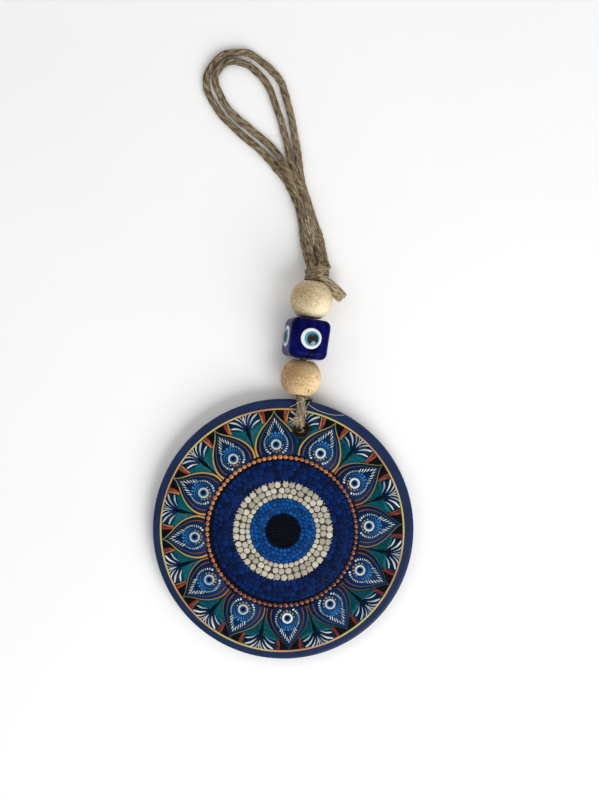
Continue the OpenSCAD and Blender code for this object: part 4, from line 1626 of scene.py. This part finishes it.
# ---------------------------------------------------------------- stage
def make_floor():
    mesh = bpy.data.meshes.new("floor")
    size = 3.0
    mesh.from_pydata([(-size, -size, 0), (size, -size, 0), (size, size, 0), (-size, size, 0)], [],
                     [(0, 1, 2, 3)])
    mesh.materials.append(pale_floor())
    floor = link_mesh("floor", mesh)
    floor.location.z = -0.00005


# Softboxes: name, direction from the ornament, size in metres and power
LIGHTS = (
    ("key_light", (0.8, -0.8, 0.85), 0.7, 8.2),
    ("fill_light", (-0.9, 0.5, 1.0), 0.9, 2.0),
    ("back_light", (0.2, 1.0, 0.8), 0.6, 1.0),
)
LIGHT_DISTANCE = 0.9


def area_light(name, towards, size, power):
    """A square softbox that looks at the middle of the ornament."""
    target = Vector((-0.005, 0.045, 0))
    data = bpy.data.lights.new(name, "AREA")
    data.shape = "SQUARE"
    data.size = size
    data.energy = power
    light = bpy.data.objects.new(name, data)
    light.location = target + Vector(towards).normalized() * LIGHT_DISTANCE
    light.rotation_euler = (target - light.location).to_track_quat("-Z", "Y").to_euler()
    light.visible_camera = False
    bpy.context.collection.objects.link(light)


def make_lights():
    """Soft studio light, brightest from the lower right."""
    world = bpy.data.worlds.new("studio")
    world.use_nodes = True
    sky = world.node_tree.nodes["Background"].inputs
    sky["Color"].default_value = (1, 1, 1, 1)
    sky["Strength"].default_value = 0.32
    bpy.context.scene.world = world
    for light in LIGHTS:
        area_light(*light)


def paints():
    """Every paint and glass, by slot or by use."""
    return {
        "black_paint": paint("pupil_paint", [(0, (1, 2, 8)), (1, (7, 11, 26))], specular=0.06),
        "light_blue_paint": paint("light_blue_paint", [(0, (0, 40, 90)), (1, (0, 84, 156))],
                                  specular=0.1, mottle=1.0, speck=1700, relief=0.06),
        "white_paint": paint("white_pebble_paint", [(0, (158, 151, 135)), (1, (204, 198, 180))],
                             mottle=0.3),
        "navy_paint": paint("navy_pebble_paint", [(0, (0, 10, 42)), (1, (0, 38, 98))], specular=0.08,
                            mottle=1.1, speck=1700, relief=0.06),
        "navy_ground": paint("navy_band_paint", [(0, (0, 14, 48)), (1, (0, 26, 70))], specular=0.08),
        "iris_ground": paint("iris_band_paint", [(0, (0, 34, 78)), (1, (0, 46, 96))], specular=0.08),
        "grout": paint("grout_paint", [(0, (44, 40, 34)), (1, (68, 62, 54))]),
        "copper_paint": paint("copper_paint", [(0, (88, 34, 18)), (0.5, (136, 68, 26)),
                                               (1, (198, 124, 44))], rough=(0.16, 0.3), specular=0.9),
        "gold_line": paint("gold_line_paint", [(0, (178, 134, 92)), (0.5, (200, 164, 108)),
                                               (1, (190, 178, 100))], mottle=0.15),
        "blue_paint": paint("petal_blue_paint", [(0, (0, 24, 60)), (1, (0, 48, 92))], specular=0.08),
        "teal_paint": paint("teal_paint", [(0, (0, 48, 66)), (1, (0, 102, 112))], specular=0.08,
                            mottle=1.0, speck=1500),
        "fan_blue_paint": paint("fan_blue_paint", [(0, (0, 22, 54)), (1, (0, 40, 80))], specular=0.08),
        "bright_outline": paint("bright_outline", [(0, (116, 122, 66)), (0.45, (176, 152, 70)),
                                                   (1, (206, 150, 72))], mottle=0.6),
        "dim_outline": paint("dim_outline", [(0, (82, 98, 62)), (0.45, (134, 122, 60)),
                                             (1, (160, 96, 50))], mottle=0.6),
        "dull_outline": paint("dull_outline", [(0, (38, 62, 58)), (0.45, (78, 72, 48)),
                                               (1, (122, 58, 38))], mottle=0.6),
        "bracket_paint": paint("bracket_paint", [(0, (92, 46, 36)), (0.5, (166, 116, 56)),
                                                 (1, (208, 150, 76))], mottle=0.5),
        "inline_paint": paint("inline_paint", [(0, (52, 76, 66)), (0.45, (92, 76, 50)),
                                               (1, (132, 54, 40))], mottle=0.4),
        "white_marks": paint("white_mark_paint", [(0, (146, 164, 168)), (1, (226, 226, 216))],
                             mottle=0.6),
        "sky_dots": paint("sky_dot_paint", [(0, (0, 44, 104)), (0.5, (6, 82, 150)),
                                            (1, (44, 122, 180))], mottle=0.15),
        "gold_dots": paint("gold_dot_paint", [(0, (140, 74, 44)), (1, (196, 184, 120))]),
        "red_paint": paint("red_paint", [(0, (84, 30, 28)), (0.5, (126, 48, 36)), (1, (172, 96, 50))],
                           mottle=0.7),
        "ground": paint("ground_paint", [(0.2, (3, 8, 18)), (0.8, (18, 24, 36))], mottle=0.5,
                        specular=0.06),
        "white_glass": enamel("white_glass", [(0.3, (222, 228, 226)), (0.7, (236, 240, 238))]),
        "light_blue_glass": enamel("light_blue_glass", [(0.3, (70, 140, 168)), (0.7, (92, 162, 186))]),
        "black_glass": enamel("black_glass", [(0.3, (10, 12, 14)), (0.7, (20, 26, 28))]),
    }


make_camera()
yarn = jute("jute_yarn", [(0, (38, 30, 21)), (0.35, (98, 82, 60)), (0.65, (152, 134, 105)),
                          (1, (214, 196, 160))])
pale_yarn = jute("cut_yarn", [(0, (70, 56, 38)), (0.35, (136, 114, 84)), (0.65, (190, 168, 132)),
                              (1, (244, 226, 192))])
loose_fibre = paint("jute_fibre", [(0, (30, 23, 15)), (0.35, (118, 99, 72)), (1, (238, 224, 194))],
                    grain=1200, mottle=0.1)
pale_fibre = paint("cut_fibre", [(0, (66, 50, 32)), (0.35, (158, 134, 100)), (1, (246, 232, 202))],
                   grain=1200, mottle=0.1)
make_cords(yarn, loose_fibre)
hanger = make_hanger(yarn)
knot, cut_ends = make_knot(yarn, pale_yarn)
make_knot_fibres(knot, loose_fibre)
make_tail_fibres(cut_ends, pale_fibre)
make_hanger_fibres(hanger, loose_fibre)
make_stray_fibres(loose_fibre)
colours = paints()
make_board(lacquer(), fibreboard())
make_ground(colours["ground"])
make_eye(colours)
make_dot_ring(colours["copper_paint"])
make_gold_line(colours["gold_line"])
make_fields(colours)
make_petals(colours)
make_petal_marks(colours)
make_petal_eyes(colours)
make_fans(colours)
upper_heart = box_centre("upper_bead") + Vector((-5, 4, 5))
lower_heart = box_centre("lower_bead") + Vector((-0.5, -3, 6))
pale_wood = wood("pale_wood", [(0.0, (56, 40, 24)), (0.2, (150, 120, 82)), (0.5, (200, 178, 140)),
                               (0.8, (246, 231, 196))], grain=0.3, heart=upper_heart, ringed=0.06)
tan_wood = wood("tan_wood", [(0.0, (36, 24, 14)), (0.22, (138, 106, 68)), (0.5, (186, 155, 112)),
                             (0.8, (244, 215, 166))], grain=0.5, heart=lower_heart, ringed=0.2)
make_bead("lower_bead", LOWER_CRACKS, LOWER_PAINTED_LIGHT, tan_wood, seed=301)
make_bead("upper_bead", (), UPPER_PAINTED_LIGHT, pale_wood, seed=302)
make_cube_eyes(make_cube(glass("cobalt_glass", (17, 18, 76))), colours)
make_floor()
make_lights()
bpy.context.scene.view_settings.view_transform = "Standard"
